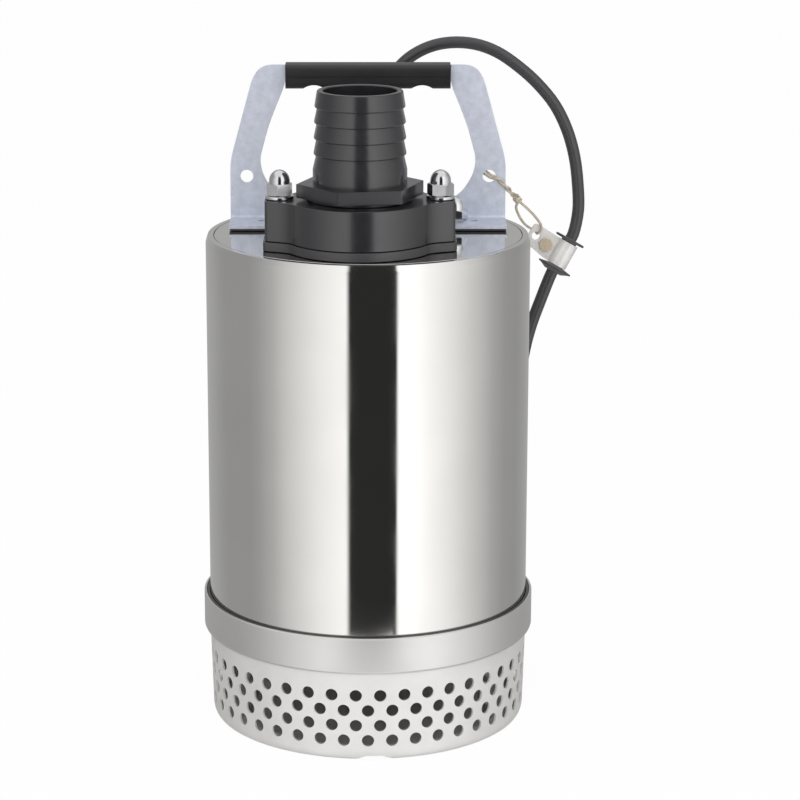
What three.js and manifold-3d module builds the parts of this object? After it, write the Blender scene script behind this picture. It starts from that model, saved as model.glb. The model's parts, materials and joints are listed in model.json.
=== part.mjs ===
// Portable submersible sump pump: a wet-end pump under a sealed motor, inside a polished steel sleeve.
// Water enters through the perforated strainer, passes the impeller, rises between the motor housing
// and the sleeve, and leaves through the hose tail on the deck. Millimetres, +Z up, the front at -Y,
// origin on the floor on the sleeve's axis.
import * as THREE from "three";
import { mergeVertices } from "three/addons/utils/BufferGeometryUtils.js";
import Module from "manifold-3d";

const wasm = await Module();
wasm.setup();

// Clearances
const FIT = 0.3; // between pieces that seat on or in each other
const RUN = 0.8; // between turning and fixed pieces
const WELD = 1e-4;

// Facets round the big shells, the castings, the pieces sealed inside, the small pieces and small holes
const SHELL_SIDES = 42;
const CAST_SIDES = 21;
const CORE_SIDES = 14;
const SMALL_SIDES = 10;
const HOLE_SIDES = 6;

// Sleeve and ring
const SLEEVE_R = 92.5;
const SLEEVE_WALL = 1.5;
const RIM_ROUND = 4.5; // where the sleeve turns in over the deck
const RIM_LEAN = 1.3; // how far it leans in up to its crisp top edge
const RING_PROUD = 3.5; // how far the ring stands out from the sleeve
const RING_R = SLEEVE_R + RING_PROUD;
const RING_HEIGHT = 21.2;
const RING_EDGE = 1.4;
const RING_SHOULDER = 4.5; // how far the inner shoulder stands in from the sleeve's seat
const SLEEVE_LAP = 6; // depth of the seat that takes the sleeve's foot

// Strainer: a pressed cup of thin sheet
const STRAINER_SET_IN = 0.1;
const STRAINER_R = SLEEVE_R - STRAINER_SET_IN;
const STRAINER_TAPER = 1.1; // lost on the radius by the bottom row
const STRAINER_BELOW = 52.8; // how much of it shows below the ring
const STRAINER_LAP = 7.7; // how much of it stands inside the ring
const STRAINER_WALL = 1.2;
const STRAINER_EDGE = 6.5; // height of the rounded bottom edge
const STRAINER_EDGE_IN = 3.2; // how far the rounded edge turns in
const STRAINER_FOOT_WIDE = 3.6; // the flat ring it stands on
const STRAINER_DISH = 5; // how far the bottom plate is raised inside the foot
const HOLE_R = 3.5;
const HOLES_ROUND = 42;
const HOLE_ROWS = [39.2, 30.2, 21.2, 12.2];
const WEEP_SLOT = { from: -7.2, to: 14.9, high: 2.8 };

// Wet end
const CASING_DEPTH = 22;
const CASING_WALL = 3.7;
const CASING_LIP = 3;
const CASING_RING = { wall: 4, height: 9 };
const CHAMBER_HEIGHT = 16.3;
const BOSS_R = 5.6;
const SUCTION_PLATE = 4;
const SUCTION_EYE_R = 27;
const EYE_LIP = { wall: 3, drop: 6 };
const IMPELLER_R = 56;
const IMPELLER_SHROUD = 3;
const IMPELLER_HUB_R = 13;
const IMPELLER_HUB_RISE = 1.6;
const VANE_THICK = 3.2;
const VANES = 6;
const IMPELLER_NUT = { flats: 19.5, height: 7 };

// Motor
const WATER_PASSAGE = 22.5; // from the motor housing to the outside of the sleeve
const MOTOR_R = SLEEVE_R - WATER_PASSAGE;
const MOTOR_WALL = 3.5;
const MOTOR_LENGTH = 127.4;
const STACK_LENGTH = 55;
const STACK_ABOVE_FOOT = 32.7;
const STATOR_ACROSS = 33.3; // from its bore to the housing
const STATOR_BORE_R = MOTOR_R - MOTOR_WALL - STATOR_ACROSS;
const WINDING = { across: 24, clear: 4.5, height: 16 };
const SHAFT_R = 8.5;
const SHAFT_NOSE_R = 6;
const BEARING = { outer: 20, wall: 4, height: 12 };
const BEARING_HOUSING_WALL = 5;
const BEARING_ABOVE_BRACKET = 3;
const SEAL_HOUSING_HEIGHT = 37.7;
const SEAL_HOUSING_WALL = 4.5;
const SEAL_FLOOR = 4.8;
const SEAL_SEAT_FLOOR = 2; // metal under the seal's seat
const SEAL_FLANGE = { out: 4.5, thick: 4.4 };
const BRACKET_FLANGE = 3.7;
const BRACKET_SPIGOT = 8;
const SEAL_R = 13.6;
const SEAL_SEAT_HEIGHT = 5;
const SEAL_HEAD_HEIGHT = 16;
const OIL_SEAL_HEIGHT = 6;
const CAP_THICK = 8;
const CAP_RIM = 3; // outside the outermost stud
const CAP_SPIGOT = 6;
const CHAMBER_R = 47;
const CHAMBER_WALL = 4;
const CHAMBER_RISE = 28;
const CHAMBER_LID = 3.7;
const CAPACITOR = { r: 12.5, length: 52 };
const TIE_BOLT_R = 3;
const TIE_CIRCLE_R = MOTOR_R + 9.3;
const TIE_ANGLES = [30, 150, 270];
const STRAINER_SCREW_ANGLES = [90, 210, 330];
const SCREW_CIRCLE_R = MOTOR_R + 6.8;
const BOLT_HEAD = { flats: 10, high: 4 };

// Deck and what stands on it
const FLOW_GAP = 7; // water passes here, under the deck and over the motor's lid
const DECK_THICK = 6;
const STUD_R = 4;
const STUD_IN_CAP = 5;
const STUD_SHOW = 8; // thread inside a dome nut
const NUT = { flats: 13, hex: 6.5, height: 14, dome: 5.75 };
const WASHER = { r: 8, thick: 1.7, ease: 0.5 };
const OUTLET = { x: -4.4, y: 49.5 - SLEEVE_R };
const OUTLET_BORE_R = 20.5;
const GASKET_THICK = 5;
const GASKET_PROUD = 1;
const FLANGE_HIGH = 22.2;
const FLANGE = { halfLength: 52.6, halfDepth: 9.5, bulge: 41 };
const FLANGE_STUD_X = 44.5; // from the outlet's axis
const TAIL_SPIGOT = { r: 24.5, deep: 18 };
const TAIL_SHOULDER = { r: 29.5, high: 1.3 }; // under the hexagon
const TAIL_HEX = { flats: 62, high: 7.7, turn: -20.2 };
const TAIL_R = 26.1;
const TAIL_NECK = 1.4;
const TAIL_PLAIN = 15; // sleeve between the hexagon and the first barb
const TAIL_SLOPE = 7.5; // of that, the part that slopes in
const BARB_PITCH = 8.7;
const BARB_LEAD = 0.8; // height of a barb's steep underside
const BARB_RIDGES = [25.6, 25.45, 25.25, 25];
const TAIL_END = { r: 23.8, rise: 9.1 };

// Handle
const PLATE = 3;
const HANDLE_Y = 31;
const HANDLE_HALF = SLEEVE_R - 13;
const HANDLE_RISE = 92; // from the deck to the plate's top edge
const HANDLE_FOOT_FRONT = 3.5;
const BEND_R = 1.5;
const LIFT_HOLE = { x: HANDLE_HALF - 9.5, r: 3.75, rise: 27.5 };
const FOOT_STUD = { x: 50, y: 20 };
const FOOT_SPARE_HOLE = { x: 60.8, y: 20, r: 2.4 };
const GRIP = { half: HANDLE_HALF - 32, deep: 18, high: 13.8, round: 5.5 };
const GRIP_BAR = 7;
const BAR_DROP = 5.5; // from the plate's top edge to the middle of the bar
const SCALLOP = { wide: 12.7, high: 2.4, pitch: 20.6, count: 4 };

// Power cable and what is on it
const CABLE_R = 3.5;
const CABLE_SIDES = 8;
const CABLE_STEP = 14;
const CABLE_EASE = 0.5; // on the radius, where the cable passes through a piece
const GLAND = { x: 8, y: 57, flats: 22, body: 8, nut: 8, shoulder: 4, spigot: 7.5, deep: 8 };
const GLAND_BOOT = { low: 6.4, high: 5.2, rise: 30 };
const CONDUIT_WALL = 3;
const CLIP_TOP = new THREE.Vector3(118.8, 51, 270.7);
const CLIP_BOTTOM = new THREE.Vector3(109.8, 48.5, 254.7);
const BOBBIN = { core: 4.8, flange: 10, thick: 2, length: 20.4 };
const STRAP = { wide: 15, thick: 1, slit: 0.8, reach: 22, eye: 2.5 };
const STRAP_TIP_HALF = 6.5;
const CLIP_BOLT = { flats: 8, high: 3, r: 2.2, at: 10.5 };
const EYE_AT = 18;
const PLUG = { r: 15, body: 38, boot: 26, bootTip: 5.2, pinR: 2.4, pin: 19, pinsApart: 19, deep: 8 };
const WIRE_R = 0.75;
const KNOT_AT = new THREE.Vector3(86.6, 36, 298);
const KNOT_R = 2.1;

// The cable's route: up from the gland, over the handle, through the clip, down behind the sleeve
const CABLE_POINTS = [
  [8, 57, 285], [8, 57, 303], [8, 57, 321], [8.2, 57, 338], [10, 57, 354], [15.2, 56.5, 368],
  [23.8, 56, 377.4], [35.4, 55, 383.9], [47.9, 54.3, 386.6], [61.9, 53.5, 385.8], [74.7, 53, 381.3],
  [87.5, 52.6, 372.7], [98.7, 52.3, 362.7], [108.8, 52, 350.4], [116.1, 52, 335.8], [120.6, 52, 320.4],
  [122.8, 52, 304.6], [123.4, 51.8, 288.4], [120.7, 51.5, 274.2], [118.8, 51, 270.7], [114.3, 49.75, 262.7],
  [109.8, 48.5, 254.7], [107.9, 48, 251.2], [102.4, 47.5, 237], [96.4, 48, 219.6], [93, 49.5, 205],
  [90.6, 51, 188], [88.4, 53, 165], [87.3, 56, 135], [87, 60, 105], [86.8, 67, 73], [86, 76, 45],
  [84, 88, 24], [81.4, 102, 10], [77.8, 117, 4.4], [73.2, 133, 3.8], [68.2, 149, 3.8], [64.4, 165, 3.8],
  [63, 176, 3.8], [63, 183.7, 3.8],
];
// The tail that leaves the coil's top layer and carries the plug, from the coil's centre
const TAIL_POINTS = [
  [-65.25, 0, 26.3], [-65.1, -8, 26.5], [-63.8, -17, 28.6], [-60, -27, 32.2], [-53.4, -36, 36.6],
  [-44.6, -42.4, 40.8], [-35.5, -45.4, 43.7], [-27, -45.8, 44.9], [-19, -45.8, 45.1],
];
const COIL = { x: -6, y: 184, inner: 39, pitch: 7.5, perLayer: 4, turns: 15.5, low: 3.8 };
const COIL_STEPS = 12; // to a turn
const COIL_SIDES = 5;

// Heights, worked out upwards from the floor
const ringTop = STRAINER_BELOW + RING_HEIGHT;
const sleeveSeat = ringTop - SLEEVE_LAP;
const strainerTop = STRAINER_BELOW + STRAINER_LAP;
const lipTop = sleeveSeat + FIT + CASING_LIP;
const casingFoot = sleeveSeat - CASING_DEPTH;
const suctionTop = casingFoot - FIT;
const sealFloor = casingFoot + CHAMBER_HEIGHT;
const shroudTop = sealFloor - IMPELLER_HUB_RISE - 2 * RUN;
const seatFloor = sealFloor + SEAL_SEAT_FLOOR;
const sealTop = sealFloor + SEAL_HOUSING_HEIGHT;
const oilSealLow = sealTop - BRACKET_SPIGOT + FIT;
const oilSealTop = oilSealLow + OIL_SEAL_HEIGHT;
const bracketTop = sealTop + FIT + BRACKET_FLANGE;
const bearingLow = bracketTop + BEARING_ABOVE_BRACKET;
const motorFoot = bracketTop + FIT;
const motorTop = motorFoot + MOTOR_LENGTH;
const capFoot = motorTop + FIT;
const capTop = capFoot + CAP_THICK;
const lidFoot = capTop + CHAMBER_RISE + FIT;
const lidTop = lidFoot + CHAMBER_LID;
const deckFoot = lidTop + FLOW_GAP;
const deckTop = deckFoot + DECK_THICK;
const stackLow = motorFoot + STACK_ABOVE_FOOT;
const stackTop = stackLow + STACK_LENGTH;
const upperBearingLow = capFoot - BEARING.height - 6;
const gasketFoot = deckTop + FIT;
const flangeFoot = gasketFoot + GASKET_THICK + FIT;
const flangeTop = flangeFoot + FLANGE_HIGH;
const tailFoot = flangeTop + FIT;
const handleFoot = deckTop + FIT;
const handleBendZ = handleFoot + PLATE + BEND_R;
const handleTop = deckTop + HANDLE_RISE;
const barZ = handleTop - BAR_DROP; // the middle of the bar inside the grip

// Radii that follow from a neighbour's
const sleeveInner = SLEEVE_R - SLEEVE_WALL;
const ringSeat = SLEEVE_R + 1.4 * FIT;
const ringShoulder = sleeveInner - RING_SHOULDER + 1.5;
const casingR = ringShoulder - FIT;
const lipR = sleeveInner - FIT;
const casingRingR = MOTOR_R + 1 + CASING_RING.wall;
const housingR = MOTOR_R + 1 - FIT;
const deckR = SLEEVE_R - RIM_ROUND - FIT;
const motorInner = MOTOR_R - MOTOR_WALL;
const bearingBossR = BEARING.outer + FIT + BEARING_HOUSING_WALL;
const footOut = STRAINER_R - STRAINER_EDGE_IN;
const footIn = footOut - STRAINER_FOOT_WIDE;

// Where the studs stand
const flangeStuds = [-1, 1].map((side) => [OUTLET.x + side * FLANGE_STUD_X, OUTLET.y]);
const handleStuds = [-1, 1].map((side) => [side * FOOT_STUD.x, FOOT_STUD.y]);
const studPlaces = [...flangeStuds, ...handleStuds];
const capR = Math.max(...studPlaces.map(([x, y]) => Math.hypot(x, y))) + STUD_R + CAP_RIM;
const sleeveRim = [SLEEVE_R - RIM_ROUND, deckTop - RIM_ROUND]; // the centre that its edge is rounded about

const steel = (color, roughness) => new THREE.MeshStandardMaterial({ color, roughness, metalness: 1 });
const matte = (color, roughness) => new THREE.MeshStandardMaterial({ color, roughness, metalness: 0 });
const FINISH = {
  polished: steel(0xd9d9d6, 0.08),
  satin: steel(0xb9b8b4, 0.35),
  pressed: steel(0xcfcdc8, 0.4),
  galvanised: steel(0xa9b4c4, 0.45),
  bright: steel(0xd0d0ce, 0.2),
  zinc: steel(0xcdbf8a, 0.35),
  castIron: steel(0x55575a, 0.6),
  copper: steel(0xb06a3a, 0.4),
  blackPlastic: matte(0x1c1c1e, 0.35),
  gloss: matte(0x242428, 0.2),
  rubber: matte(0x1f2022, 0.7),
  wire: matte(0xb9a78c, 0.6),
  ceramic: matte(0xd8d4cc, 0.3),
};

const part = new THREE.Group();
part.name = "submersible_sump_pump";

/** Adds one named piece to a group, the whole pump unless another is named. */
function add(name, geometry, material, to = part) {
  const mesh = new THREE.Mesh(faceted(geometry), material);
  mesh.name = name;
  to.add(mesh);
  return mesh;
}

/** The same body with a normal for each face. */
function faceted(geometry) {
  const loose = welded(geometry).toNonIndexed();
  loose.computeVertexNormals();
  return loose;
}

/** One closed body: corners welded, empty faces dropped, faces pointing out. */
function welded(geometry) {
  const bare = new THREE.BufferGeometry();
  bare.setAttribute("position", geometry.getAttribute("position"));
  bare.setIndex(geometry.getIndex());
  const merged = mergeVertices(bare, WELD);
  const corners = merged.getAttribute("position");
  const index = merged.getIndex().array;
  const [a, b, c] = [new THREE.Vector3(), new THREE.Vector3(), new THREE.Vector3()];
  const kept = [];
  let volume = 0;
  for (let i = 0; i < index.length; i += 3) {
    const [p, q, r] = [index[i], index[i + 1], index[i + 2]];
    if (p === q || q === r || r === p) continue;
    kept.push(p, q, r);
    a.fromBufferAttribute(corners, p);
    b.fromBufferAttribute(corners, q);
    c.fromBufferAttribute(corners, r);
    volume += a.dot(b.cross(c));
  }
  merged.setIndex(volume < 0 ? kept.reverse() : kept);
  return merged;
}

function toSolid(geometry) {
  const shell = welded(geometry);
  const vertProperties = new Float32Array(shell.getAttribute("position").array);
  const triVerts = new Uint32Array(shell.getIndex().array);
  return new wasm.Manifold(new wasm.Mesh({ numProp: 3, vertProperties, triVerts }));
}

function fromSolid(solid) {
  const { vertProperties, triVerts } = solid.getMesh();
  const geometry = new THREE.BufferGeometry();
  geometry.setAttribute("position", new THREE.BufferAttribute(vertProperties, 3));
  geometry.setIndex([...triVerts]);
  return geometry;
}

const join = (...pieces) => fromSolid(pieces.map(toSolid).reduce((sum, piece) => sum.add(piece)));
const cut = (base, ...tools) => {
  return fromSolid(tools.map(toSolid).reduce((rest, tool) => rest.subtract(tool), toSolid(base)));
};
const common = (a, b) => fromSolid(toSolid(a).intersect(toSolid(b)));

/** A turned piece about Z from [radius, height] points; an open profile that misses the axis is closed. */
function lathe(points, sides) {
  const closed = points[0][0] > 0 ? [...points, points[0]] : points;
  const profile = closed.map(([r, z]) => new THREE.Vector2(r, z));
  return new THREE.LatheGeometry(profile, sides).rotateX(Math.PI / 2);
}

const disc = (r, low, high, sides) => lathe([[0, low], [r, low], [r, high], [0, high]], sides);
const ring = (inner, outer, low, high, sides) => {
  return lathe([[inner, low], [outer, low], [outer, high], [inner, high]], sides);
};

/** An upright prism of an outline in X and Y. */
function prism(shape, low, high, curveSegments = 6) {
  const options = { depth: high - low, bevelEnabled: false, curveSegments };
  const geometry = new THREE.ExtrudeGeometry(shape, options);
  return geometry.translate(0, 0, low);
}

/** A prism along Y of an outline in X and Z. */
function slab(shape, front, back, curveSegments = 6) {
  return prism(shape, -back, -front, curveSegments).rotateX(Math.PI / 2);
}

/** A prism along X of an outline in Y and Z. */
function beam(shape, from, to, curveSegments = 6) {
  return prism(shape, from, to, curveSegments).rotateX(Math.PI / 2).rotateZ(Math.PI / 2);
}

const outline = (points) => new THREE.Shape(points.map(([x, y]) => new THREE.Vector2(x, y)));
const degrees = (angle) => (angle * Math.PI) / 180;
const around = (radius, angle) => [radius * Math.cos(degrees(angle)), radius * Math.sin(degrees(angle))];
const from = ([x, y], radius, angle) => {
  const [dx, dy] = around(radius, angle);
  return [x + dx, y + dy];
};

/** The radius that turns freely inside a faceted bore. */
const clearOf = (bore) => bore * Math.cos(Math.PI / CORE_SIDES);

/** Corner radius of a small hole whose flats still clear a round shank. */
const easedHole = (shank) => (shank + FIT) / Math.cos(Math.PI / HOLE_SIDES);

function roundHole(x, y, r, sides = SMALL_SIDES) {
  const path = new THREE.Path();
  const corners = Array.from({ length: sides }, (_, i) => around(r, (360 * i) / sides));
  path.setFromPoints(corners.map(([dx, dy]) => new THREE.Vector2(x + dx, y + dy)));
  return path;
}

/** A hexagon with a flat side across X, unless it is turned. */
function hexagon(flats, turn = 0) {
  const corner = flats / Math.sqrt(3);
  return outline(Array.from({ length: 6 }, (_, i) => around(corner, 60 * i + turn)));
}

const rod = (x, y, r, low, high, sides = SMALL_SIDES) => disc(r, low, high, sides).translate(x, y, 0);

// ---------------------------------------------------------------- strainer, ring and sleeve

const wallTop = HOLE_ROWS[0] + 5; // the perforated band, up to the plain lap
const wallLow = STRAINER_EDGE;
const holePitch = (2 * Math.PI * STRAINER_R) / HOLES_ROUND;
const strainerOutside = (z) => STRAINER_R - (STRAINER_TAPER * (wallTop - z)) / (wallTop - wallLow);
const strainerInside = (z) => strainerOutside(z) - STRAINER_WALL;

/** A hole's corners, as [sectors round, height]. */
function holeCorners(u, z) {
  return Array.from({ length: 6 }, (_, i) => {
    const [dx, dz] = around(HOLE_R, 90 - 60 * i);
    return [u + dx / holePitch, z + dz];
  });
}

/** A sector's side, which runs round half of each hole that it cuts. */
function sectorSide(u, half) {
  const cutRows = HOLE_ROWS.filter((_, row) => row % 2);
  return cutRows.flatMap((z) => {
    const hex = holeCorners(u, z);
    return half === "right" ? hex.slice(0, 4) : [hex[0], hex[5], hex[4], hex[3]];
  });
}

/** One sector of the perforated band, unrolled: its corners and the triangles between them. */
function perforatedSector() {
  const contour = [
    [0, wallTop], ...sectorSide(0, "right"), [0, wallLow],
    [1, wallLow], ...sectorSide(1, "left").reverse(), [1, wallTop],
  ];
  const holes = HOLE_ROWS.filter((_, row) => row % 2 === 0).map((z) => holeCorners(0.5, z));
  const flat = (list) => list.map(([u, z]) => new THREE.Vector2(u * holePitch, z));
  const faces = THREE.ShapeUtils.triangulateShape(flat(contour), holes.map(flat));
  return { corners: [...contour, ...holes.flat()], faces };
}

/** The strips of one sector below and above the band, as profiles of [radius, height]. */
function strainerProfiles() {
  const dishR = footIn - STRAINER_DISH / 2;
  const half = STRAINER_WALL / 2;
  const under = [
    [strainerOutside(wallLow), wallLow], [footOut, 0], [footIn, 0],
    [dishR, STRAINER_DISH], [0, STRAINER_DISH],
  ];
  const over = [
    [strainerInside(wallLow), wallLow], [footOut - half, STRAINER_WALL], [footIn + half, STRAINER_WALL],
    [dishR, STRAINER_DISH + STRAINER_WALL], [0, STRAINER_DISH + STRAINER_WALL],
  ];
  const rim = [
    [strainerInside(wallTop), wallTop], [strainerInside(wallTop), strainerTop],
    [strainerOutside(wallTop), strainerTop], [strainerOutside(wallTop), wallTop],
  ];
  return [under, over.reverse(), rim];
}

/** The perforated cup, sector by sector: both skins, the holes' walls, the bottom and the rim. */
function perforatedCup() {
  const { corners: sheet, faces } = perforatedSector();
  const holeEdges = HOLE_ROWS.map((z, row) => holeCorners(row % 2 ? 0 : 0.5, z));
  const corners = [];
  const put = (radius, u, z) => {
    const [x, y] = around(radius, (360 * u) / HOLES_ROUND - 90);
    corners.push(x, y, z);
  };
  const quad = (a, b, c, d) => [a, b, c, a, c, d].forEach((corner) => put(...corner));
  for (let k = 0; k < HOLES_ROUND; k++) {
    for (const face of faces) {
      for (const i of face) put(strainerOutside(sheet[i][1]), k + sheet[i][0], sheet[i][1]);
      for (const i of [...face].reverse()) put(strainerInside(sheet[i][1]), k + sheet[i][0], sheet[i][1]);
    }
    for (const hex of holeEdges) {
      hex.forEach(([u, z], i) => {
        const [v, y] = hex[(i + 1) % 6];
        quad(
          [strainerOutside(y), k + v, y], [strainerOutside(z), k + u, z],
          [strainerInside(z), k + u, z], [strainerInside(y), k + v, y],
        );
      });
    }
    for (const profile of strainerProfiles()) {
      for (let i = 0; i + 1 < profile.length; i++) {
        const [[r0, z0], [r1, z1]] = [profile[i], profile[i + 1]];
        quad([r0, k, z0], [r1, k, z1], [r1, k + 1, z1], [r0, k + 1, z0]);
      }
    }
  }
  const cup = new THREE.BufferGeometry();
  cup.setAttribute("position", new THREE.BufferAttribute(new Float32Array(corners), 3));
  return cup;
}

/** The cup with its weep slot and its screw holes. */
function strainer() {
  const { from, to, high } = WEEP_SLOT;
  const slot = outline([[from, -1], [to, -1], [to, 0], [to - 7, high], [from + 6, high], [from, 0]]);
  const screwHoles = STRAINER_SCREW_ANGLES.map((angle) => {
    const [x, y] = around(SCREW_CIRCLE_R, angle);
    return rod(x, y, easedHole(TIE_BOLT_R), 0, 2 * STRAINER_DISH, HOLE_SIDES);
  });
  return cut(perforatedCup(), slab(slot, -STRAINER_R, -footIn - 1), ...screwHoles);
}

function baseRing() {
  const inner = ringShoulder;
  const strainerSeat = STRAINER_R + 1.6 * FIT;
  return lathe([
    [RING_R - RING_EDGE, STRAINER_BELOW], [RING_R, STRAINER_BELOW + RING_EDGE], [RING_R, ringTop],
    [ringSeat, ringTop], [ringSeat, sleeveSeat], [inner, sleeveSeat],
    [inner, strainerTop + FIT], [strainerSeat, strainerTop + FIT], [strainerSeat, STRAINER_BELOW],
  ], SHELL_SIDES);
}

/** The polished sleeve; its top edge turns in over the deck's skirt. */
function outerSleeve() {
  const inside = RIM_ROUND - SLEEVE_WALL;
  return lathe([
    [SLEEVE_R, sleeveSeat + FIT], from(sleeveRim, RIM_ROUND, 0), [SLEEVE_R - RIM_LEAN, deckTop],
    from(sleeveRim, RIM_ROUND, 90), from(sleeveRim, inside, 90), from(sleeveRim, inside, 0),
    [sleeveInner, sleeveSeat + FIT],
  ], SHELL_SIDES);
}

// ---------------------------------------------------------------- wet end

function pumpCasing() {
  const wallIn = casingR - CASING_WALL;
  const shell = lathe([
    [wallIn, casingFoot], [casingR, casingFoot], [casingR, sleeveSeat + FIT], [lipR, sleeveSeat + FIT],
    [lipR, lipTop], [wallIn, lipTop],
  ], CORE_SIDES);
  const hoop = ring(MOTOR_R + 1, casingRingR, lipTop - CASING_RING.height, lipTop, CORE_SIDES);
  const places = [
    ...TIE_ANGLES.map((angle) => around(TIE_CIRCLE_R, angle)),
    ...STRAINER_SCREW_ANGLES.map((angle) => around(SCREW_CIRCLE_R, angle)),
  ];
  const bossLow = lipTop - CASING_RING.height - 2;
  const bosses = places.map(([x, y]) => rod(x, y, BOSS_R, bossLow, lipTop, HOLE_SIDES));
  const taps = places.map(([x, y]) => rod(x, y, easedHole(TIE_BOLT_R), casingFoot, 2 * lipTop, HOLE_SIDES));
  return cut(join(shell, hoop, ...bosses), ...taps);
}

function suctionCover() {
  const under = suctionTop - SUCTION_PLATE;
  const lipOut = SUCTION_EYE_R + EYE_LIP.wall;
  const plate = lathe([
    [SUCTION_EYE_R, under - EYE_LIP.drop], [lipOut, under - EYE_LIP.drop], [lipOut, under],
    [casingR, under], [casingR, suctionTop], [SUCTION_EYE_R, suctionTop],
  ], CORE_SIDES);
  const holes = STRAINER_SCREW_ANGLES.map((angle) => {
    const [x, y] = around(SCREW_CIRCLE_R, angle);
    return rod(x, y, easedHole(TIE_BOLT_R), 0, suctionTop + 1, HOLE_SIDES);
  });
  return cut(plate, ...holes);
}

/** Semi-open impeller: backward-curved vanes hang from the back shroud. */
function impeller() {
  const vaneLow = suctionTop + RUN;
  const shroudLow = shroudTop - IMPELLER_SHROUD;
  const body = lathe([
    [0, vaneLow], [IMPELLER_HUB_R, vaneLow], [IMPELLER_HUB_R, shroudLow], [IMPELLER_R, shroudLow],
    [IMPELLER_R, shroudTop], [IMPELLER_HUB_R, shroudTop], [IMPELLER_HUB_R, shroudTop + IMPELLER_HUB_RISE],
    [0, shroudTop + IMPELLER_HUB_RISE],
  ], CORE_SIDES);
  const vanes = Array.from({ length: VANES }, (_, i) => {
    const shape = outline(vaneEdge(1).concat(vaneEdge(-1).reverse()));
    return prism(shape, vaneLow, shroudLow + 0.5).rotateZ((2 * Math.PI * i) / VANES);
  });
  return cut(join(body, ...vanes), disc(SHAFT_NOSE_R + FIT, 0, shroudTop * 2, CORE_SIDES));
}

/** One side of a vane's outline, on a spiral from the hub to the rim. */
function vaneEdge(side) {
  const stations = 4;
  return Array.from({ length: stations }, (_, i) => {
    const share = i / (stations - 1);
    const radius = IMPELLER_HUB_R - 1 + share * (IMPELLER_R - 0.5 - IMPELLER_HUB_R);
    const [x, y] = around(radius, -75 * share);
    const [nx, ny] = around((side * VANE_THICK) / 2, 40 - 75 * share);
    return [x + nx, y + ny];
  });
}

function sealHousing() {
  const inner = housingR - SEAL_HOUSING_WALL;
  const flangeLow = lipTop + FIT;
  const flangeHigh = flangeLow + SEAL_FLANGE.thick;
  const flangeR = housingR + SEAL_FLANGE.out;
  const chamberFloor = sealFloor + SEAL_FLOOR;
  const body = lathe([
    [SHAFT_R + RUN, sealFloor], [housingR, sealFloor], [housingR, flangeLow], [flangeR, flangeLow],
    [flangeR, flangeHigh], [MOTOR_R, flangeHigh], [MOTOR_R, sealTop], [inner, sealTop],
    [inner, chamberFloor], [SEAL_R + FIT, chamberFloor], [SEAL_R + FIT, seatFloor],
    [SHAFT_R + RUN, seatFloor],
  ], CORE_SIDES);
  return eared(body, flangeLow, flangeHigh);
}

/** A casting with three drilled ears for the tie bolts, outside the motor's wall. */
function eared(body, low, high) {
  const ears = TIE_ANGLES.map((angle) => {
    const [root, tip, corner] = [MOTOR_R - 6, TIE_CIRCLE_R + BOSS_R, 3];
    const ear = outline([
      [root, -BOSS_R], [tip - corner, -BOSS_R], [tip, corner - BOSS_R],
      [tip, BOSS_R - corner], [tip - corner, BOSS_R], [root, BOSS_R],
    ]);
    return prism(ear, low, high).rotateZ(degrees(angle));
  });
  const holes = TIE_ANGLES.map((angle) => {
    const [x, y] = around(TIE_CIRCLE_R, angle);
    return rod(x, y, easedHole(TIE_BOLT_R), low - 1, high + 1, HOLE_SIDES);
  });
  return cut(join(body, ...ears), ...holes);
}

/** The seal's turning head, waisted like its bellows. */
function sealHead(low) {
  return lathe([
    [SHAFT_R + FIT, low], [SEAL_R, low], [SEAL_R, low + 5], [SEAL_R - 2, low + 7], [SEAL_R, low + 10],
    [SEAL_R, low + SEAL_HEAD_HEIGHT], [SHAFT_R + FIT, low + SEAL_HEAD_HEIGHT],
  ], CORE_SIDES);
}

/** Closes the oil chamber from above and holds the lower bearing and the oil seal. */
function bearingBracket() {
  const spigot = housingR - SEAL_HOUSING_WALL - FIT;
  const bracketLow = sealTop - BRACKET_SPIGOT;
  const bossTop = bearingLow + BEARING.height + 2;
  return lathe([
    [SEAL_R + FIT, bracketLow], [spigot, bracketLow], [spigot, sealTop + FIT],
    [MOTOR_R, sealTop + FIT], [MOTOR_R, bracketTop], [bearingBossR, bracketTop], [bearingBossR, bossTop],
    [BEARING.outer + FIT, bossTop], [BEARING.outer + FIT, bearingLow - FIT],
    [SHAFT_R + RUN, bearingLow - FIT], [SHAFT_R + RUN, oilSealTop], [SEAL_R + FIT, oilSealTop],
  ], CORE_SIDES);
}

// ---------------------------------------------------------------- motor

/** Closes the motor from above: a bearing boss below, the dry chamber's wall above. */
function motorCap() {
  const roof = upperBearingLow + BEARING.height + FIT;
  const bossLow = upperBearingLow - 2;
  const spigotOut = motorInner - FIT;
  const spigotIn = spigotOut - 5;
  const chamberIn = CHAMBER_R - CHAMBER_WALL;
  const body = lathe([
    [0, roof], [BEARING.outer + FIT, roof], [BEARING.outer + FIT, bossLow], [bearingBossR, bossLow],
    [bearingBossR, capFoot - 1], [spigotIn, capFoot - 1], [spigotIn, capFoot - CAP_SPIGOT],
    [spigotOut, capFoot - CAP_SPIGOT], [spigotOut, capFoot], [capR, capFoot], [capR, capTop],
    [CHAMBER_R, capTop], [CHAMBER_R, lidFoot - FIT], [chamberIn, lidFoot - FIT],
    [chamberIn, capTop], [0, capTop],
  ], CORE_SIDES);
  const tapLow = capTop - STUD_IN_CAP - FIT;
  const taps = studPlaces.map(([x, y]) => rod(x, y, easedHole(STUD_R), tapLow, capTop + 1, HOLE_SIDES));
  const cableWay = rod(GLAND.x, GLAND.y, CABLE_R + 2, capFoot - 2 * CAP_SPIGOT, capTop + 1, HOLE_SIDES);
  return cut(eared(body, capFoot, capTop), ...taps, cableWay);
}

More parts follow.
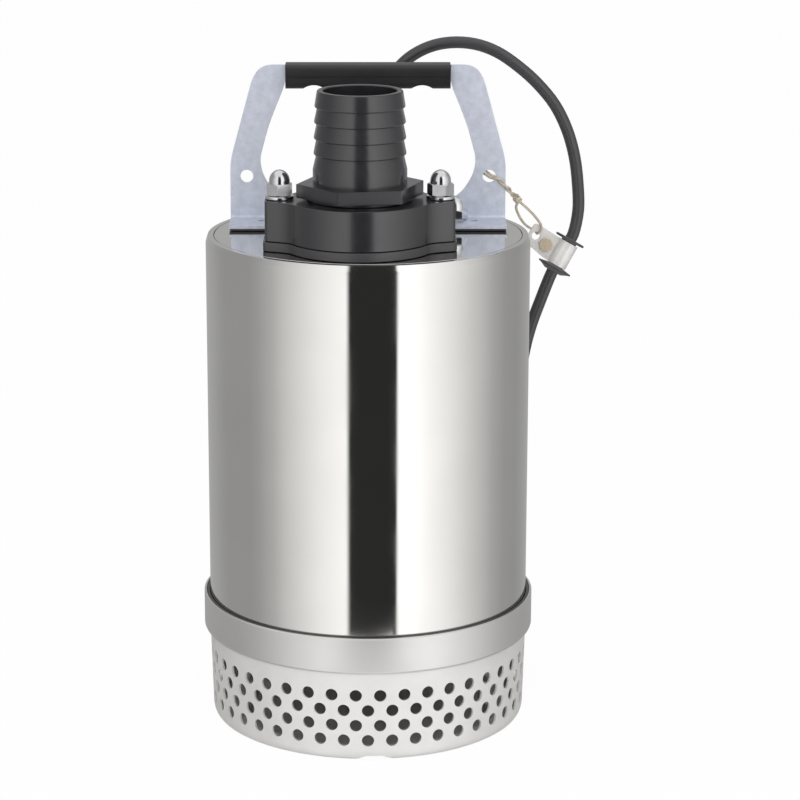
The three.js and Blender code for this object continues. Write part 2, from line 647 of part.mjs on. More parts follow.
/** A winding's end turns, as one rounded bundle. */
function windingHead(low, high) {
  const round = 4;
  const outer = motorInner - WINDING.clear;
  const inner = outer - WINDING.across;
  return lathe([
    [inner, low], [outer - round, low], [outer, low + round],
    [outer, high - round], [outer - round, high], [inner, high],
  ], CORE_SIDES);
}

function shaft() {
  const nose = suctionTop - IMPELLER_NUT.height + 1;
  const shoulder = shroudTop + IMPELLER_HUB_RISE + FIT;
  const end = upperBearingLow + BEARING.height;
  return lathe([
    [0, nose], [SHAFT_NOSE_R, nose], [SHAFT_NOSE_R, shoulder],
    [SHAFT_R, shoulder], [SHAFT_R, end - 1], [SHAFT_R - 1, end], [0, end],
  ], CORE_SIDES);
}

/** Outer and inner race, with the balls' cage gap between them. */
function bearing(name, low) {
  const high = low + BEARING.height;
  const innerRace = ring(SHAFT_R + FIT, SHAFT_R + FIT + BEARING.wall + 1, low, high, CORE_SIDES);
  const outerRace = ring(BEARING.outer - BEARING.wall, BEARING.outer, low, high, CORE_SIDES);
  add(`${name}_bearing_outer`, outerRace, FINISH.bright);
  add(`${name}_bearing_inner`, innerRace, FINISH.bright);
}

/** A hexagon-headed screw; its head is above or below the shank. */
function screw(name, [x, y], low, high, head) {
  const { flats, high: headHigh } = BOLT_HEAD;
  const headLow = head === "top" ? high : low - headHigh;
  const hex = prism(hexagon(flats), headLow, headLow + headHigh);
  const shank = disc(TIE_BOLT_R, low - (head === "top" ? 0 : 1), high + (head === "top" ? 1 : 0), 8);
  add(name, join(hex, shank), FINISH.bright).position.set(x, y, 0);
}

// ---------------------------------------------------------------- deck, flange and hose tail

/** The deck: a disc with a skirt that the sleeve's rim turns over, and the cable's sealed way down. */
function topCover() {
  const skirtTop = sleeveRim[1] - 0.5;
  const [under, over] = [deckFoot - 1, deckTop + 1];
  const wayR = GLAND.spigot + FIT;
  const body = lathe([
    [0, deckFoot], [lipR, deckFoot], [lipR, skirtTop - 1], [deckR, skirtTop + 2.2],
    [deckR, deckTop], [0, deckTop],
  ], SHELL_SIDES);
  const conduit = rod(GLAND.x, GLAND.y, wayR + CONDUIT_WALL, capTop + FIT, deckFoot + 1, SMALL_SIDES);
  const way = rod(GLAND.x, GLAND.y, wayR, capTop, over, SMALL_SIDES);
  const outlet = rod(OUTLET.x, OUTLET.y, OUTLET_BORE_R, under, over, CAST_SIDES);
  const holes = studPlaces.map(([x, y]) => rod(x, y, easedHole(STUD_R), under, over, HOLE_SIDES));
  return cut(join(body, conduit), way, outlet, ...holes);
}

/** The flange's plan: a round middle, and two ears that widen towards it and join it in a hollow curve. */
function flangeOutline(proud) {
  const [long, deep, bulge] = [FLANGE.halfLength + proud, FLANGE.halfDepth + proud, FLANGE.bulge + proud];
  const join = 27; // degrees above or below the long axis where the round middle starts
  const [jx, jy] = around(bulge, join);
  const [startX, startY, bendX, bendY] = [bulge + 5, deep + 2.4, bulge - 2.5, deep + 5.1];
  const shape = new THREE.Shape();
  shape.moveTo(long, -deep).lineTo(long, deep).lineTo(startX, startY);
  shape.quadraticCurveTo(bendX, bendY, jx, jy);
  shape.absarc(0, 0, bulge, degrees(join), degrees(180 - join), false);
  shape.quadraticCurveTo(-bendX, bendY, -startX, startY);
  shape.lineTo(-long, deep).lineTo(-long, -deep).lineTo(-startX, -startY);
  shape.quadraticCurveTo(-bendX, -bendY, -jx, -jy);
  shape.absarc(0, 0, bulge, degrees(180 + join), degrees(360 - join), false);
  shape.quadraticCurveTo(bendX, -bendY, startX, -startY);
  return shape;
}

function flangePlate(proud, boreR, low, high) {
  const shape = flangeOutline(proud);
  const studHoles = [-1, 1].map((side) => roundHole(side * FLANGE_STUD_X, 0, easedHole(STUD_R), HOLE_SIDES));
  shape.holes = [roundHole(0, 0, boreR, CAST_SIDES), ...studHoles];
  return prism(shape, low, high, 4);
}

/** Shoulder, hexagon, plain sleeve and four barbs, with a threaded spigot below and a bore right through. */
function hoseTail() {
  const hexFoot = tailFoot + TAIL_SHOULDER.high;
  const hexTop = hexFoot + TAIL_HEX.high;
  const firstBarb = hexTop + TAIL_PLAIN;
  const barbs = BARB_RIDGES.flatMap((ridge, i) => {
    const z = firstBarb + i * BARB_PITCH;
    return [[ridge - TAIL_NECK, z], [ridge, z + BARB_LEAD]];
  });
  const endZ = firstBarb + (BARB_RIDGES.length - 1) * BARB_PITCH + BARB_LEAD + TAIL_END.rise;
  const spigotLow = tailFoot - TAIL_SPIGOT.deep;
  const body = lathe([
    [OUTLET_BORE_R, spigotLow], [TAIL_SPIGOT.r, spigotLow], [TAIL_SPIGOT.r, tailFoot],
    [TAIL_SHOULDER.r, tailFoot], [TAIL_SHOULDER.r, hexFoot + 1], [TAIL_R, hexFoot + 1],
    [TAIL_R, firstBarb - TAIL_SLOPE], ...barbs, [TAIL_END.r, endZ], [OUTLET_BORE_R, endZ],
  ], CAST_SIDES);
  const hex = prism(hexagon(TAIL_HEX.flats, TAIL_HEX.turn - 90), hexFoot, hexTop);
  return join(body, cut(hex, disc(TAIL_R - 1, tailFoot, hexTop + 1, CAST_SIDES)));
}

/** A dome nut, open below for its stud. */
function domeNut() {
  const domeRise = NUT.height - NUT.hex;
  const cap = lathe([
    [0, NUT.hex - 1], [NUT.dome, NUT.hex - 1], [NUT.dome, NUT.hex + 0.3 * domeRise],
    [0.75 * NUT.dome, NUT.hex + 0.75 * domeRise], [0, NUT.height],
  ], SMALL_SIDES);
  const bore = disc(easedHole(STUD_R), -1, STUD_SHOW + 2 * FIT, HOLE_SIDES);
  return cut(join(prism(hexagon(NUT.flats), 0, NUT.hex), cap), bore);
}

/** Stud, washer where there is one, and dome nut on one piece's top face. */
function fastener(name, [x, y], seat, washer) {
  const nutFoot = seat + FIT + (washer ? WASHER.thick + FIT : 0);
  const holder = new THREE.Group();
  holder.position.set(x, y, 0);
  part.add(holder);
  add(`${name}_stud`, disc(STUD_R, capTop - STUD_IN_CAP, nutFoot + STUD_SHOW, 8), FINISH.bright, holder);
  if (washer) {
    const washerLow = seat + FIT;
    const flat = ring(STUD_R + WASHER.ease, WASHER.r, washerLow, washerLow + WASHER.thick, SMALL_SIDES);
    add(`${name}_washer`, flat, FINISH.bright, holder);
  }
  add(`${name}_dome_nut`, domeNut(), FINISH.bright, holder).position.z = nutFoot;
}

// ---------------------------------------------------------------- handle

/** Half of the handle's outline, right of the middle, from its foot up to the grip. */
function handleEdge() {
  const [half, neck] = [HANDLE_HALF, GRIP.half - FIT];
  return [
    [half, handleBendZ], [half, deckTop + 36.5], [half - 11, handleTop - 15.5],
    [half - 13.3, handleTop - 7.5], [half - 17.2, handleTop - 2], [half - 22.5, handleTop],
    [neck, handleTop], [neck, barZ + GRIP_BAR / 2],
  ];
}

/** Half of the window's outline. */
function windowEdge() {
  const half = HANDLE_HALF;
  return [
    [GRIP.half - FIT, barZ - GRIP_BAR / 2], [half - 31, handleTop - 13.5], [half - 22.5, deckTop + 57.5],
    [half - 17, deckTop + 37], [half - 18.9, deckTop + 28], [half - 25.5, deckTop + 17.5],
    [half - 35.5, deckTop + 12], [half - 49.5, deckTop + 11],
  ];
}

const mirrored = (edge) => outline([...edge, ...edge.map(([x, z]) => [-x, z]).reverse()]);

/** The foot and the bend, seen from the side. */
function handleSection() {
  const [back, front] = [HANDLE_Y + PLATE / 2, HANDLE_Y - PLATE / 2];
  const centre = [front - BEND_R, handleBendZ];
  const outside = [-90, -60, -30, 0].map((angle) => from(centre, BEND_R + PLATE, angle));
  const inside = [0, -45, -90].map((angle) => from(centre, BEND_R, angle));
  return outline([
    [HANDLE_FOOT_FRONT, handleFoot], ...outside, [back, handleBendZ + 1], [front, handleBendZ + 1],
    ...inside, [HANDLE_FOOT_FRONT, handleFoot + PLATE],
  ]);
}

/** One bent plate: a foot along the deck, a bend, and the upright with its window. */
function handlePlate() {
  const upright = mirrored(handleEdge());
  const liftHole = (side) => roundHole(side * LIFT_HOLE.x, deckTop + LIFT_HOLE.rise, LIFT_HOLE.r, 8);
  upright.holes = [mirrored(windowEdge()), liftHole(-1), liftHole(1)];
  const [under, over] = [handleFoot - 1, handleFoot + PLATE + 1];
  const holes = [-1, 1].flatMap((side) => [
    rod(side * FOOT_STUD.x, FOOT_STUD.y, easedHole(STUD_R), under, over, HOLE_SIDES),
    rod(side * FOOT_SPARE_HOLE.x, FOOT_SPARE_HOLE.y, FOOT_SPARE_HOLE.r, under, over, 8),
  ]);
  const foot = beam(handleSection(), -HANDLE_HALF, HANDLE_HALF);
  return cut(join(foot, slab(upright, HANDLE_Y - PLATE / 2, HANDLE_Y + PLATE / 2)), ...holes);
}

/** The moulded grip round the plate's bar, with finger scallops underneath. */
function handleGrip() {
  const centre = [HANDLE_Y, barZ - 0.7];
  const [w, h, r] = [GRIP.deep / 2, GRIP.high / 2, GRIP.round];
  const corner = (sy, sz, start) => {
    const middle = [centre[0] + sy * (w - r), centre[1] + sz * (h - r)];
    return [0, 45, 90].map((angle) => from(middle, r, start + angle));
  };
  const section = outline([
    ...corner(1, 1, 0), ...corner(-1, 1, 90), ...corner(-1, -1, 180), ...corner(1, -1, 270),
  ]);
  const [sy, sz] = [PLATE / 2 + FIT, GRIP_BAR / 2 + FIT];
  section.holes = [outline([
    [HANDLE_Y - sy, barZ - sz], [HANDLE_Y + sy, barZ - sz],
    [HANDLE_Y + sy, barZ + sz], [HANDLE_Y - sy, barZ + sz],
  ])];
  const radius = (SCALLOP.wide ** 2 / 4 + SCALLOP.high ** 2) / (2 * SCALLOP.high);
  const scallops = Array.from({ length: SCALLOP.count }, (_, i) => {
    const x = (i - (SCALLOP.count - 1) / 2) * SCALLOP.pitch;
    const barrel = disc(radius, HANDLE_Y - GRIP.deep, HANDLE_Y + GRIP.deep, CAST_SIDES).rotateX(-Math.PI / 2);
    return barrel.translate(x, 0, centre[1] - h + SCALLOP.high - radius);
  });
  return cut(beam(section, FIT - GRIP.half, GRIP.half - FIT), ...scallops);
}

// ---------------------------------------------------------------- cable, clip, tether and plug

const vector = ([x, y, z]) => new THREE.Vector3(x, y, z);
const cableLine = new THREE.CatmullRomCurve3(CABLE_POINTS.map(vector), false, "centripetal");
const tailLine = new THREE.CatmullRomCurve3(
  TAIL_POINTS.map(([x, y, z]) => vector([COIL.x + x, COIL.y + y, z])), false, "centripetal",
);

function cableTube(line) {
  const step = 360 / CABLE_SIDES;
  const corners = Array.from({ length: CABLE_SIDES }, (_, i) => around(CABLE_R, (i + 0.5) * step));
  const steps = Math.ceil(line.getLength() / CABLE_STEP);
  return new THREE.ExtrudeGeometry(outline(corners), { steps, extrudePath: line });
}

/** The coil's centreline: layers that spiral in and out in turn, and climb where the spiral reverses. */
function coilPoint(turn) {
  const { perLayer, inner, pitch, low, x, y } = COIL;
  const swing = Math.abs(((turn + perLayer) % (2 * perLayer)) - perLayer);
  const radius = inner + pitch * (perLayer - swing);
  const climbs = Array.from({ length: Math.floor(COIL.turns / perLayer) }, (_, i) => (i + 1) * perLayer);
  const rise = climbs.reduce((sum, at) => sum + THREE.MathUtils.smoothstep(turn, at - 0.25, at + 0.25), 0);
  const angle = 2 * Math.PI * turn;
  return new THREE.Vector3(x + radius * Math.cos(angle), y + radius * Math.sin(angle), low + pitch * rise);
}

/** One unbroken tube along a line of points; each cross-section stands square to the line. */
function sweep(points, tangents, radius, sides) {
  const up = new THREE.Vector3(0, 0, 1);
  const corners = points.flatMap((point, i) => {
    const across = tangents[i].clone().cross(up).normalize();
    const lift = across.clone().cross(tangents[i]).normalize();
    return Array.from({ length: sides }, (_, s) => {
      const [a, b] = around(radius, (360 * (s + 0.5)) / sides + 90);
      return point.clone().addScaledVector(across, a).addScaledVector(lift, b).toArray();
    }).flat();
  });
  const last = (points.length - 1) * sides;
  const index = [];
  for (let row = 0; row < last; row += sides) {
    for (let s = 0; s < sides; s++) {
      const [a, b] = [row + s, row + ((s + 1) % sides)];
      index.push(a, a + sides, b, b, a + sides, b + sides);
    }
  }
  for (let s = 1; s + 1 < sides; s++) index.push(0, s, s + 1, last, last + s + 1, last + s);
  return indexed(corners, index);
}

/** The least distance between points that are at least half a turn apart along the coil. */
function leastApart(points) {
  let least = Infinity;
  for (let i = 0; i < points.length; i++) {
    for (let j = i + COIL_STEPS / 2; j < points.length; j++) {
      least = Math.min(least, points[i].distanceTo(points[j]));
    }
  }
  return least;
}

/** The coil with its tail. */
function cableCoil() {
  const count = Math.round(COIL.turns * COIL_STEPS);
  const turns = Array.from({ length: count + 1 }, (_, i) => (i * COIL.turns) / count);
  const level = (turn) => coilPoint(turn + 0.002).sub(coilPoint(turn - 0.002)).setZ(0).normalize();
  const tailSteps = TAIL_POINTS.length;
  const tail = Array.from({ length: tailSteps }, (_, i) => (i + 1) / tailSteps);
  const points = [...turns.map(coilPoint), ...tail.map((t) => tailLine.getPointAt(t))];
  const along = [...turns.slice(1).map(level), ...tail.map((t) => tailLine.getTangentAt(t))];
  const length = points.slice(1).reduce((sum, point, i) => sum + point.distanceTo(points[i]), 0);
  const gap = leastApart(points) - 2 * CABLE_R;
  const toCoil = cableLine.getLength();
  console.log(`coil: ${COIL.turns} turns, ${length.toFixed(0)} mm, least gap to itself ${gap.toFixed(2)} mm`);
  console.log(`cable: ${toCoil.toFixed(0)} mm to the coil, ${(length + toCoil).toFixed(0)} mm in all`);
  return sweep(points, [new THREE.Vector3(0, 1, 0), ...along], CABLE_R, COIL_SIDES);
}

function plug() {
  const { r, body, boot, bootTip, pinR, pin, pinsApart, deep } = PLUG;
  const bore = CABLE_R + CABLE_EASE;
  const holder = new THREE.Group();
  const [endX, endY, endZ] = TAIL_POINTS.at(-1);
  holder.position.set(COIL.x + endX - deep, COIL.y + endY, endZ);
  holder.rotation.y = Math.PI / 2;
  part.add(holder);
  const shell = lathe([
    [0, deep + FIT], [bore, deep + FIT], [bore, 0], [bootTip, 0], [8, boot - 2], [9.5, boot], [r, boot + 5],
    [r, boot + body - 2], [r - 2, boot + body], [0, boot + body],
  ], SMALL_SIDES);
  const face = boot + body;
  const pinAt = (side, radius, low, high) => rod(0, (side * pinsApart) / 2, radius, low, high, 8);
  const sockets = [-1, 1].map((side) => pinAt(side, pinR + FIT, face - 4, face + 1));
  add("plug_body", cut(shell, ...sockets), FINISH.rubber, holder);
  add("plug_pin_left", pinAt(1, pinR, face - 4 + FIT, face + pin), FINISH.bright, holder);
  add("plug_pin_right", pinAt(-1, pinR, face - 4 + FIT, face + pin), FINISH.bright, holder);
}

/** Gland body, its nut and the rubber boot that carries the cable out. */
function gland() {
  const { x, y, flats, body, nut, shoulder, spigot, deep } = GLAND;
  const bore = CABLE_R + CABLE_EASE;
  const holder = new THREE.Group();
  holder.position.set(x, y, gasketFoot);
  part.add(holder);
  const base = join(prism(hexagon(flats), 0, body), disc(spigot, -deep, 1, SMALL_SIDES));
  add("gland_body", cut(base, disc(bore, -deep - 1, body + 1, SMALL_SIDES)), FINISH.bright, holder);
  const nutLow = body + FIT;
  const nutTop = nutLow + nut;
  const cone = lathe([
    [0, nutTop - 1], [9, nutTop - 1], [9, nutTop + 1], [7.2, nutTop + shoulder], [0, nutTop + shoulder],
  ], SMALL_SIDES);
  const capNut = join(prism(hexagon(flats - 2, 30), nutLow, nutTop), cone);
  const nutBore = disc(bore, nutLow - 1, nutTop + 2 * shoulder, SMALL_SIDES);
  add("gland_nut", cut(capNut, nutBore), FINISH.bright, holder);
  const bootLow = nutTop + shoulder + FIT;
  const { low, high, rise } = GLAND_BOOT;
  add("gland_boot", lathe([
    [bore, bootLow], [low, bootLow], [low, bootLow + 4], [high, bootLow + rise], [bore, bootLow + rise],
  ], SMALL_SIDES), FINISH.rubber, holder);
}

/** The clip's own axes: Z along the cable, X away from the tab. */
function clipHolder() {
  const holder = new THREE.Group();
  const z = CLIP_TOP.clone().sub(CLIP_BOTTOM).normalize();
  const y = new THREE.Vector3(0, 1, 0).projectOnPlane(z).normalize();
  const x = y.clone().cross(z);
  holder.quaternion.setFromRotationMatrix(new THREE.Matrix4().makeBasis(x, y, z));
  holder.position.copy(CLIP_TOP).add(CLIP_BOTTOM).multiplyScalar(0.5);
  part.add(holder);
  return holder;
}

/** The strap seen along the cable: once round the bobbin, then two leaves side by side. */
function strapBand() {
  const { reach, slit, thick } = STRAP;
  const inside = BOBBIN.core + FIT;
  const outside = inside + thick;
  const [gap, leaf] = [slit / 2, slit / 2 + thick];
  const steps = 12;
  const arc = (radius, off) => {
    const start = 180 + (Math.asin(off / radius) * 180) / Math.PI;
    const sweepAngle = 2 * (360 - start);
    return Array.from({ length: steps + 1 }, (_, i) => around(radius, start + (sweepAngle * i) / steps));
  };
  return outline([
    [-reach, -leaf], ...arc(outside, leaf), [-reach, leaf],
    [-reach, gap], ...arc(inside, gap).reverse(), [-reach, -gap],
  ]);
}

/** The strap seen from the side: a tab with a rounded tip, an eye and a bolt hole. */
function strapTab() {
  const { reach, wide, eye } = STRAP;
  const past = 2 * (BOBBIN.core + FIT + STRAP.thick);
  const edge = [[past, wide / 2], [-8, wide / 2], [2 - reach, STRAP_TIP_HALF], [-reach, 3.5]];
  const tab = outline([...edge, ...edge.map(([x, y]) => [x, -y]).reverse()]);
  tab.holes = [roundHole(-EYE_AT, 0, eye, 8), roundHole(-CLIP_BOLT.at, 0, CLIP_BOLT.r + FIT, 8)];
  return tab;
}

/** The clip on the cable: a rubber bobbin in a steel strap whose tab takes the tether. */
function clip() {
  const holder = clipHolder();
  const bore = CABLE_R + CABLE_EASE;
  const { core, flange, thick, length } = BOBBIN;
  const [end, inner] = [length / 2, length / 2 - thick];
  add("clip_bobbin", lathe([
    [bore, -end], [flange, -end], [flange, -inner], [core, -inner], [core, inner],
    [flange, inner], [flange, end], [bore, end],
  ], SMALL_SIDES), FINISH.rubber, holder);

  const past = 4 * core;
  const strip = common(prism(strapBand(), -STRAP.wide / 2, STRAP.wide / 2), slab(strapTab(), -past, past));
  add("clip_strap", strip, FINISH.bright, holder);

  const head = STRAP.slit / 2 + STRAP.thick + FIT;
  const { flats, high, r, at } = CLIP_BOLT;
  const place = (geometry) => geometry.rotateX(Math.PI / 2).translate(-at, 0, 0);
  const bolt = join(prism(hexagon(flats), head, head + high), disc(r, -head - high - 1, head + 1, 8));
  const nut = cut(prism(hexagon(flats), -head - high, -head), disc(r + FIT, -2 * head - high, head, 8));
  add("clip_bolt", place(bolt), FINISH.zinc, holder);
  add("clip_nut", place(nut), FINISH.zinc, holder);
  holder.updateMatrix();
  return holder.localToWorld(new THREE.Vector3(-EYE_AT, 0, 0));
}

/** The wire tether: one loop through the handle's hole, one through the clip's eye, knotted between. */
function tether(eye) {
  const clear = PLATE / 2 + WIRE_R + FIT;
  const leaf = STRAP.slit / 2 + STRAP.thick + WIRE_R + FIT;
  const hole = new THREE.Vector3(LIFT_HOLE.x, HANDLE_Y, deckTop + LIFT_HOLE.rise);
  const off = (origin, x, y, z) => origin.clone().add(new THREE.Vector3(x, y, z));
  const handleLoop = [
    KNOT_AT, off(hole, 11.5, -clear, -11), off(hole, 5, -clear - 0.5, -5.2), off(hole, 0.8, -1.9, -0.8),
    off(hole, 0.8, 1.9, -0.6), off(hole, 5, clear + 0.5, -4.4), off(hole, 13, clear, -10.9),
  ];
  const eyeLoop = [
    KNOT_AT, off(eye, -10.7, -9, 15.4), off(eye, -5.6, -leaf - 1, 6.6), off(eye, -0.4, -1.7, 0.5),
    off(eye, -0.4, 1.7, 0.7), off(eye, -3.2, leaf + 0.8, 6.6), off(eye, -7.2, -3.5, 16.4),
  ];
  const knot = new THREE.SphereGeometry(KNOT_R, 6, 4).translate(KNOT_AT.x, KNOT_AT.y, KNOT_AT.z);
  return join(wireLoop(handleLoop), wireLoop(eyeLoop), knot);
}

/** A closed loop of wire through the given points. */
function wireLoop(points) {
  const [rows, sides] = [18, 4];
  const line = new THREE.CatmullRomCurve3(points, true, "centripetal");
  const { normals, binormals } = line.computeFrenetFrames(rows, true);
  const corners = [];
  const index = [];
  for (let i = 0; i < rows; i++) {
    const centre = line.getPointAt(i / rows);
    for (let s = 0; s < sides; s++) {
      const [a, b] = around(WIRE_R, (360 * s) / sides);
      const corner = centre.clone().addScaledVector(normals[i], a).addScaledVector(binormals[i], b);
      corners.push(...corner.toArray());
      const [p, q] = [i * sides + s, i * sides + ((s + 1) % sides)];
      const [u, v] = [p, q].map((corner) => (corner + sides) % (rows * sides));
      index.push(p, u, q, q, u, v);
    }
  }
  return indexed(corners, index);
}

function indexed(corners, index) {
  const geometry = new THREE.BufferGeometry();
  geometry.setAttribute("position", new THREE.BufferAttribute(new Float32Array(corners), 3));
  geometry.setIndex(index);
  return geometry;
}

// ---------------------------------------------------------------- the pump

add("strainer", strainer(), FINISH.pressed);
add("base_ring", baseRing(), FINISH.satin);
add("outer_sleeve", outerSleeve(), FINISH.polished);
add("top_cover", topCover(), FINISH.polished);
add("pump_casing", pumpCasing(), FINISH.castIron);
add("suction_cover", suctionCover(), FINISH.castIron);
add("impeller", impeller(), FINISH.castIron);
add("seal_housing", sealHousing(), FINISH.castIron);
add("bearing_bracket", bearingBracket(), FINISH.castIron);

add("impeller_nut", cut(
  prism(hexagon(IMPELLER_NUT.flats), suctionTop - IMPELLER_NUT.height, suctionTop + RUN - FIT),
  disc(SHAFT_NOSE_R + FIT, suctionTop - IMPELLER_NUT.height + 1, suctionTop + 2, CORE_SIDES),
), FINISH.bright);
const sealSeatTop = seatFloor + SEAL_SEAT_HEIGHT;
add("seal_seat", ring(SHAFT_R + RUN, SEAL_R, seatFloor + FIT, sealSeatTop, CORE_SIDES), FINISH.ceramic);
add("seal_head", sealHead(sealSeatTop + FIT), FINISH.bright);
add("oil_seal", ring(SHAFT_R + RUN, SEAL_R, oilSealLow, oilSealTop - FIT, CORE_SIDES), FINISH.rubber);

add("motor_housing", ring(motorInner, MOTOR_R, motorFoot, motorTop, CORE_SIDES), FINISH.satin);
add("stator_core", ring(STATOR_BORE_R, motorInner - FIT, stackLow, stackTop, CORE_SIDES), FINISH.castIron);
add("winding_lower", windingHead(stackLow - FIT - WINDING.height, stackLow - FIT), FINISH.copper);
add("winding_upper", windingHead(stackTop + FIT, stackTop + FIT + WINDING.height), FINISH.copper);
const rotorR = clearOf(STATOR_BORE_R) - RUN;
add("rotor_core", ring(SHAFT_R + FIT, rotorR, stackLow, stackTop, CORE_SIDES), FINISH.satin);
add("shaft", shaft(), FINISH.bright);
bearing("lower", bearingLow);
bearing("upper", upperBearingLow);
add("motor_cap", motorCap(), FINISH.castIron);
add("chamber_lid", disc(CHAMBER_R, lidFoot, lidTop, CORE_SIDES), FINISH.satin);
const can = disc(CAPACITOR.r, -CAPACITOR.length / 2, CAPACITOR.length / 2, SMALL_SIDES);
add("capacitor", can.rotateZ(degrees(15)).rotateY(Math.PI / 2), FINISH.satin)
  .position.set(0, 0, capTop + FIT + CAPACITOR.r);

TIE_ANGLES.forEach((angle, i) => {
  screw(`tie_bolt_${i + 1}`, around(TIE_CIRCLE_R, angle), lipTop - CASING_RING.height, capTop + FIT, "top");
});
STRAINER_SCREW_ANGLES.forEach((angle, i) => {
  screw(`strainer_screw_${i + 1}`, around(SCREW_CIRCLE_R, angle), STRAINER_DISH - FIT, lipTop - 1, "bottom");
});

const outlet = new THREE.Group();
outlet.position.set(OUTLET.x, OUTLET.y, 0);
part.add(outlet);
const gasket = flangePlate(GASKET_PROUD, OUTLET_BORE_R, gasketFoot, gasketFoot + GASKET_THICK);
add("flange_gasket", gasket, FINISH.rubber, outlet);
add("discharge_flange", flangePlate(0, TAIL_SPIGOT.r + FIT, flangeFoot, flangeTop), FINISH.gloss, outlet);
add("hose_tail", hoseTail(), FINISH.blackPlastic, outlet);
["left", "right"].forEach((side, i) => {
  fastener(`flange_${side}`, flangeStuds[i], flangeTop, true);
  fastener(`handle_${side}`, handleStuds[i], deckTop + FIT + PLATE, false);
});
add("handle_plate", handlePlate(), FINISH.galvanised);
add("handle_grip", handleGrip(), FINISH.blackPlastic);

gland();
add("power_cable", cableTube(cableLine), FINISH.rubber);
add("cable_coil", cableCoil(), FINISH.rubber);
plug();
add("tether", tether(clip()), FINISH.wire);

export default part;
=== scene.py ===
# %% [markdown]
# # A submersible sump pump
# This file is a lesson in cells. It takes the pump's solids from CAD as a fixed frame, and gives each piece
# that can be seen its real shape and finish. Sizes are in millimetres, and every helper turns them into
# Blender's metres. The origin is on the floor on the sleeve's axis, +Z is up, and the hose tail is towards
# -Y.

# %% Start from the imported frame
import json
import math

import bpy
from mathutils import Matrix, Vector


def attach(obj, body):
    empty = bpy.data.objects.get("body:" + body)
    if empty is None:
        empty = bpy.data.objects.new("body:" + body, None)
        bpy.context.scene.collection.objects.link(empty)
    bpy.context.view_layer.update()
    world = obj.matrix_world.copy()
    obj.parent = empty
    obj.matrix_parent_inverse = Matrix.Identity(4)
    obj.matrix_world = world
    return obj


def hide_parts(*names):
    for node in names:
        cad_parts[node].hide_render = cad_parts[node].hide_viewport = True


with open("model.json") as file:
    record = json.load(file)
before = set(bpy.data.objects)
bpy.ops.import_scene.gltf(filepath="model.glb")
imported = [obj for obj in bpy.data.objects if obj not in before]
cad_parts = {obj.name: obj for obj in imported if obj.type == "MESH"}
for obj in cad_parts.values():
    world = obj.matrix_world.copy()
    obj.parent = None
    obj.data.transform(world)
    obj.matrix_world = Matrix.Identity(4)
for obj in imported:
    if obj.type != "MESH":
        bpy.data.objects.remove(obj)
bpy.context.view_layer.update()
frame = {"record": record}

MM = 0.001
PIECES = {}  # each finished piece and the name of its finish

# %% [markdown]
# ## The camera
# The photograph was taken from 1.6 m in front and 0.6 m up, with a long lens that looks 14.5 degrees down.
# A long lens keeps the sleeve's sides almost parallel. The pump stands a little left of the frame's middle,
# and a small lens shift gives that without turning the camera.

# %% Camera
CAMERA_FRONT, CAMERA_UP, CAMERA_DOWN = -1605, 602, 14.508  # the last one in degrees below level
SENSOR, LENS, SHIFT = 36, 128.97, 0.04
bpy.ops.object.camera_add(location=(0, CAMERA_FRONT * MM, CAMERA_UP * MM),
                          rotation=(math.radians(90 - CAMERA_DOWN), 0, 0))
camera = bpy.context.object
camera.name = "camera"
camera.data.sensor_width = SENSOR
camera.data.lens = LENS
camera.data.shift_x = SHIFT
bpy.context.scene.camera = camera
print("camera:", round(camera.data.lens, 2), "mm lens")

# %% [markdown]
# ## The power cable
# A 7 mm rubber cable comes up out of the deck behind the hose tail, crosses over the handle, passes through
# a clip and runs down behind the sleeve. Nearly six metres is usual for such a pump, so the rest lies
# behind it in a neat coil with the plug on top. A curve of one open spline with a round bevel is the
# plainest way to make a cable: the points are its centreline, and the bevel is its rubber. The centreline
# is the same as in CAD, a smooth line through listed points, then a coil that spirals out, in, out and
# in again, one cable higher each time.

# %% A smooth line through points
def span(p0, p1, p2, p3, t):
    """One stretch of a centripetal Catmull-Rom line, from p1 to p2."""
    d0, d1, d2 = ((b - a).length ** 0.5 for a, b in ((p0, p1), (p1, p2), (p2, p3)))
    start = ((p1 - p0) / d0 - (p2 - p0) / (d0 + d1) + (p2 - p1) / d1) * d1
    end = ((p2 - p1) / d1 - (p3 - p1) / (d1 + d2) + (p3 - p2) / d2) * d1
    return (p1 + start * t + (3 * (p2 - p1) - 2 * start - end) * t ** 2
            + (2 * (p1 - p2) + start + end) * t ** 3)


def smooth_line(points, step):
    """Points about a step apart, on one smooth line through the given ones."""
    given = [Vector(point) for point in points]
    given = [2 * given[0] - given[1], *given, 2 * given[-1] - given[-2]]
    line = [given[1]]
    for p0, p1, p2, p3 in zip(given, given[1:], given[2:], given[3:]):
        count = max(2, math.ceil((p2 - p1).length / step))
        line += [span(p0, p1, p2, p3, i / count) for i in range(1, count + 1)]
    return line


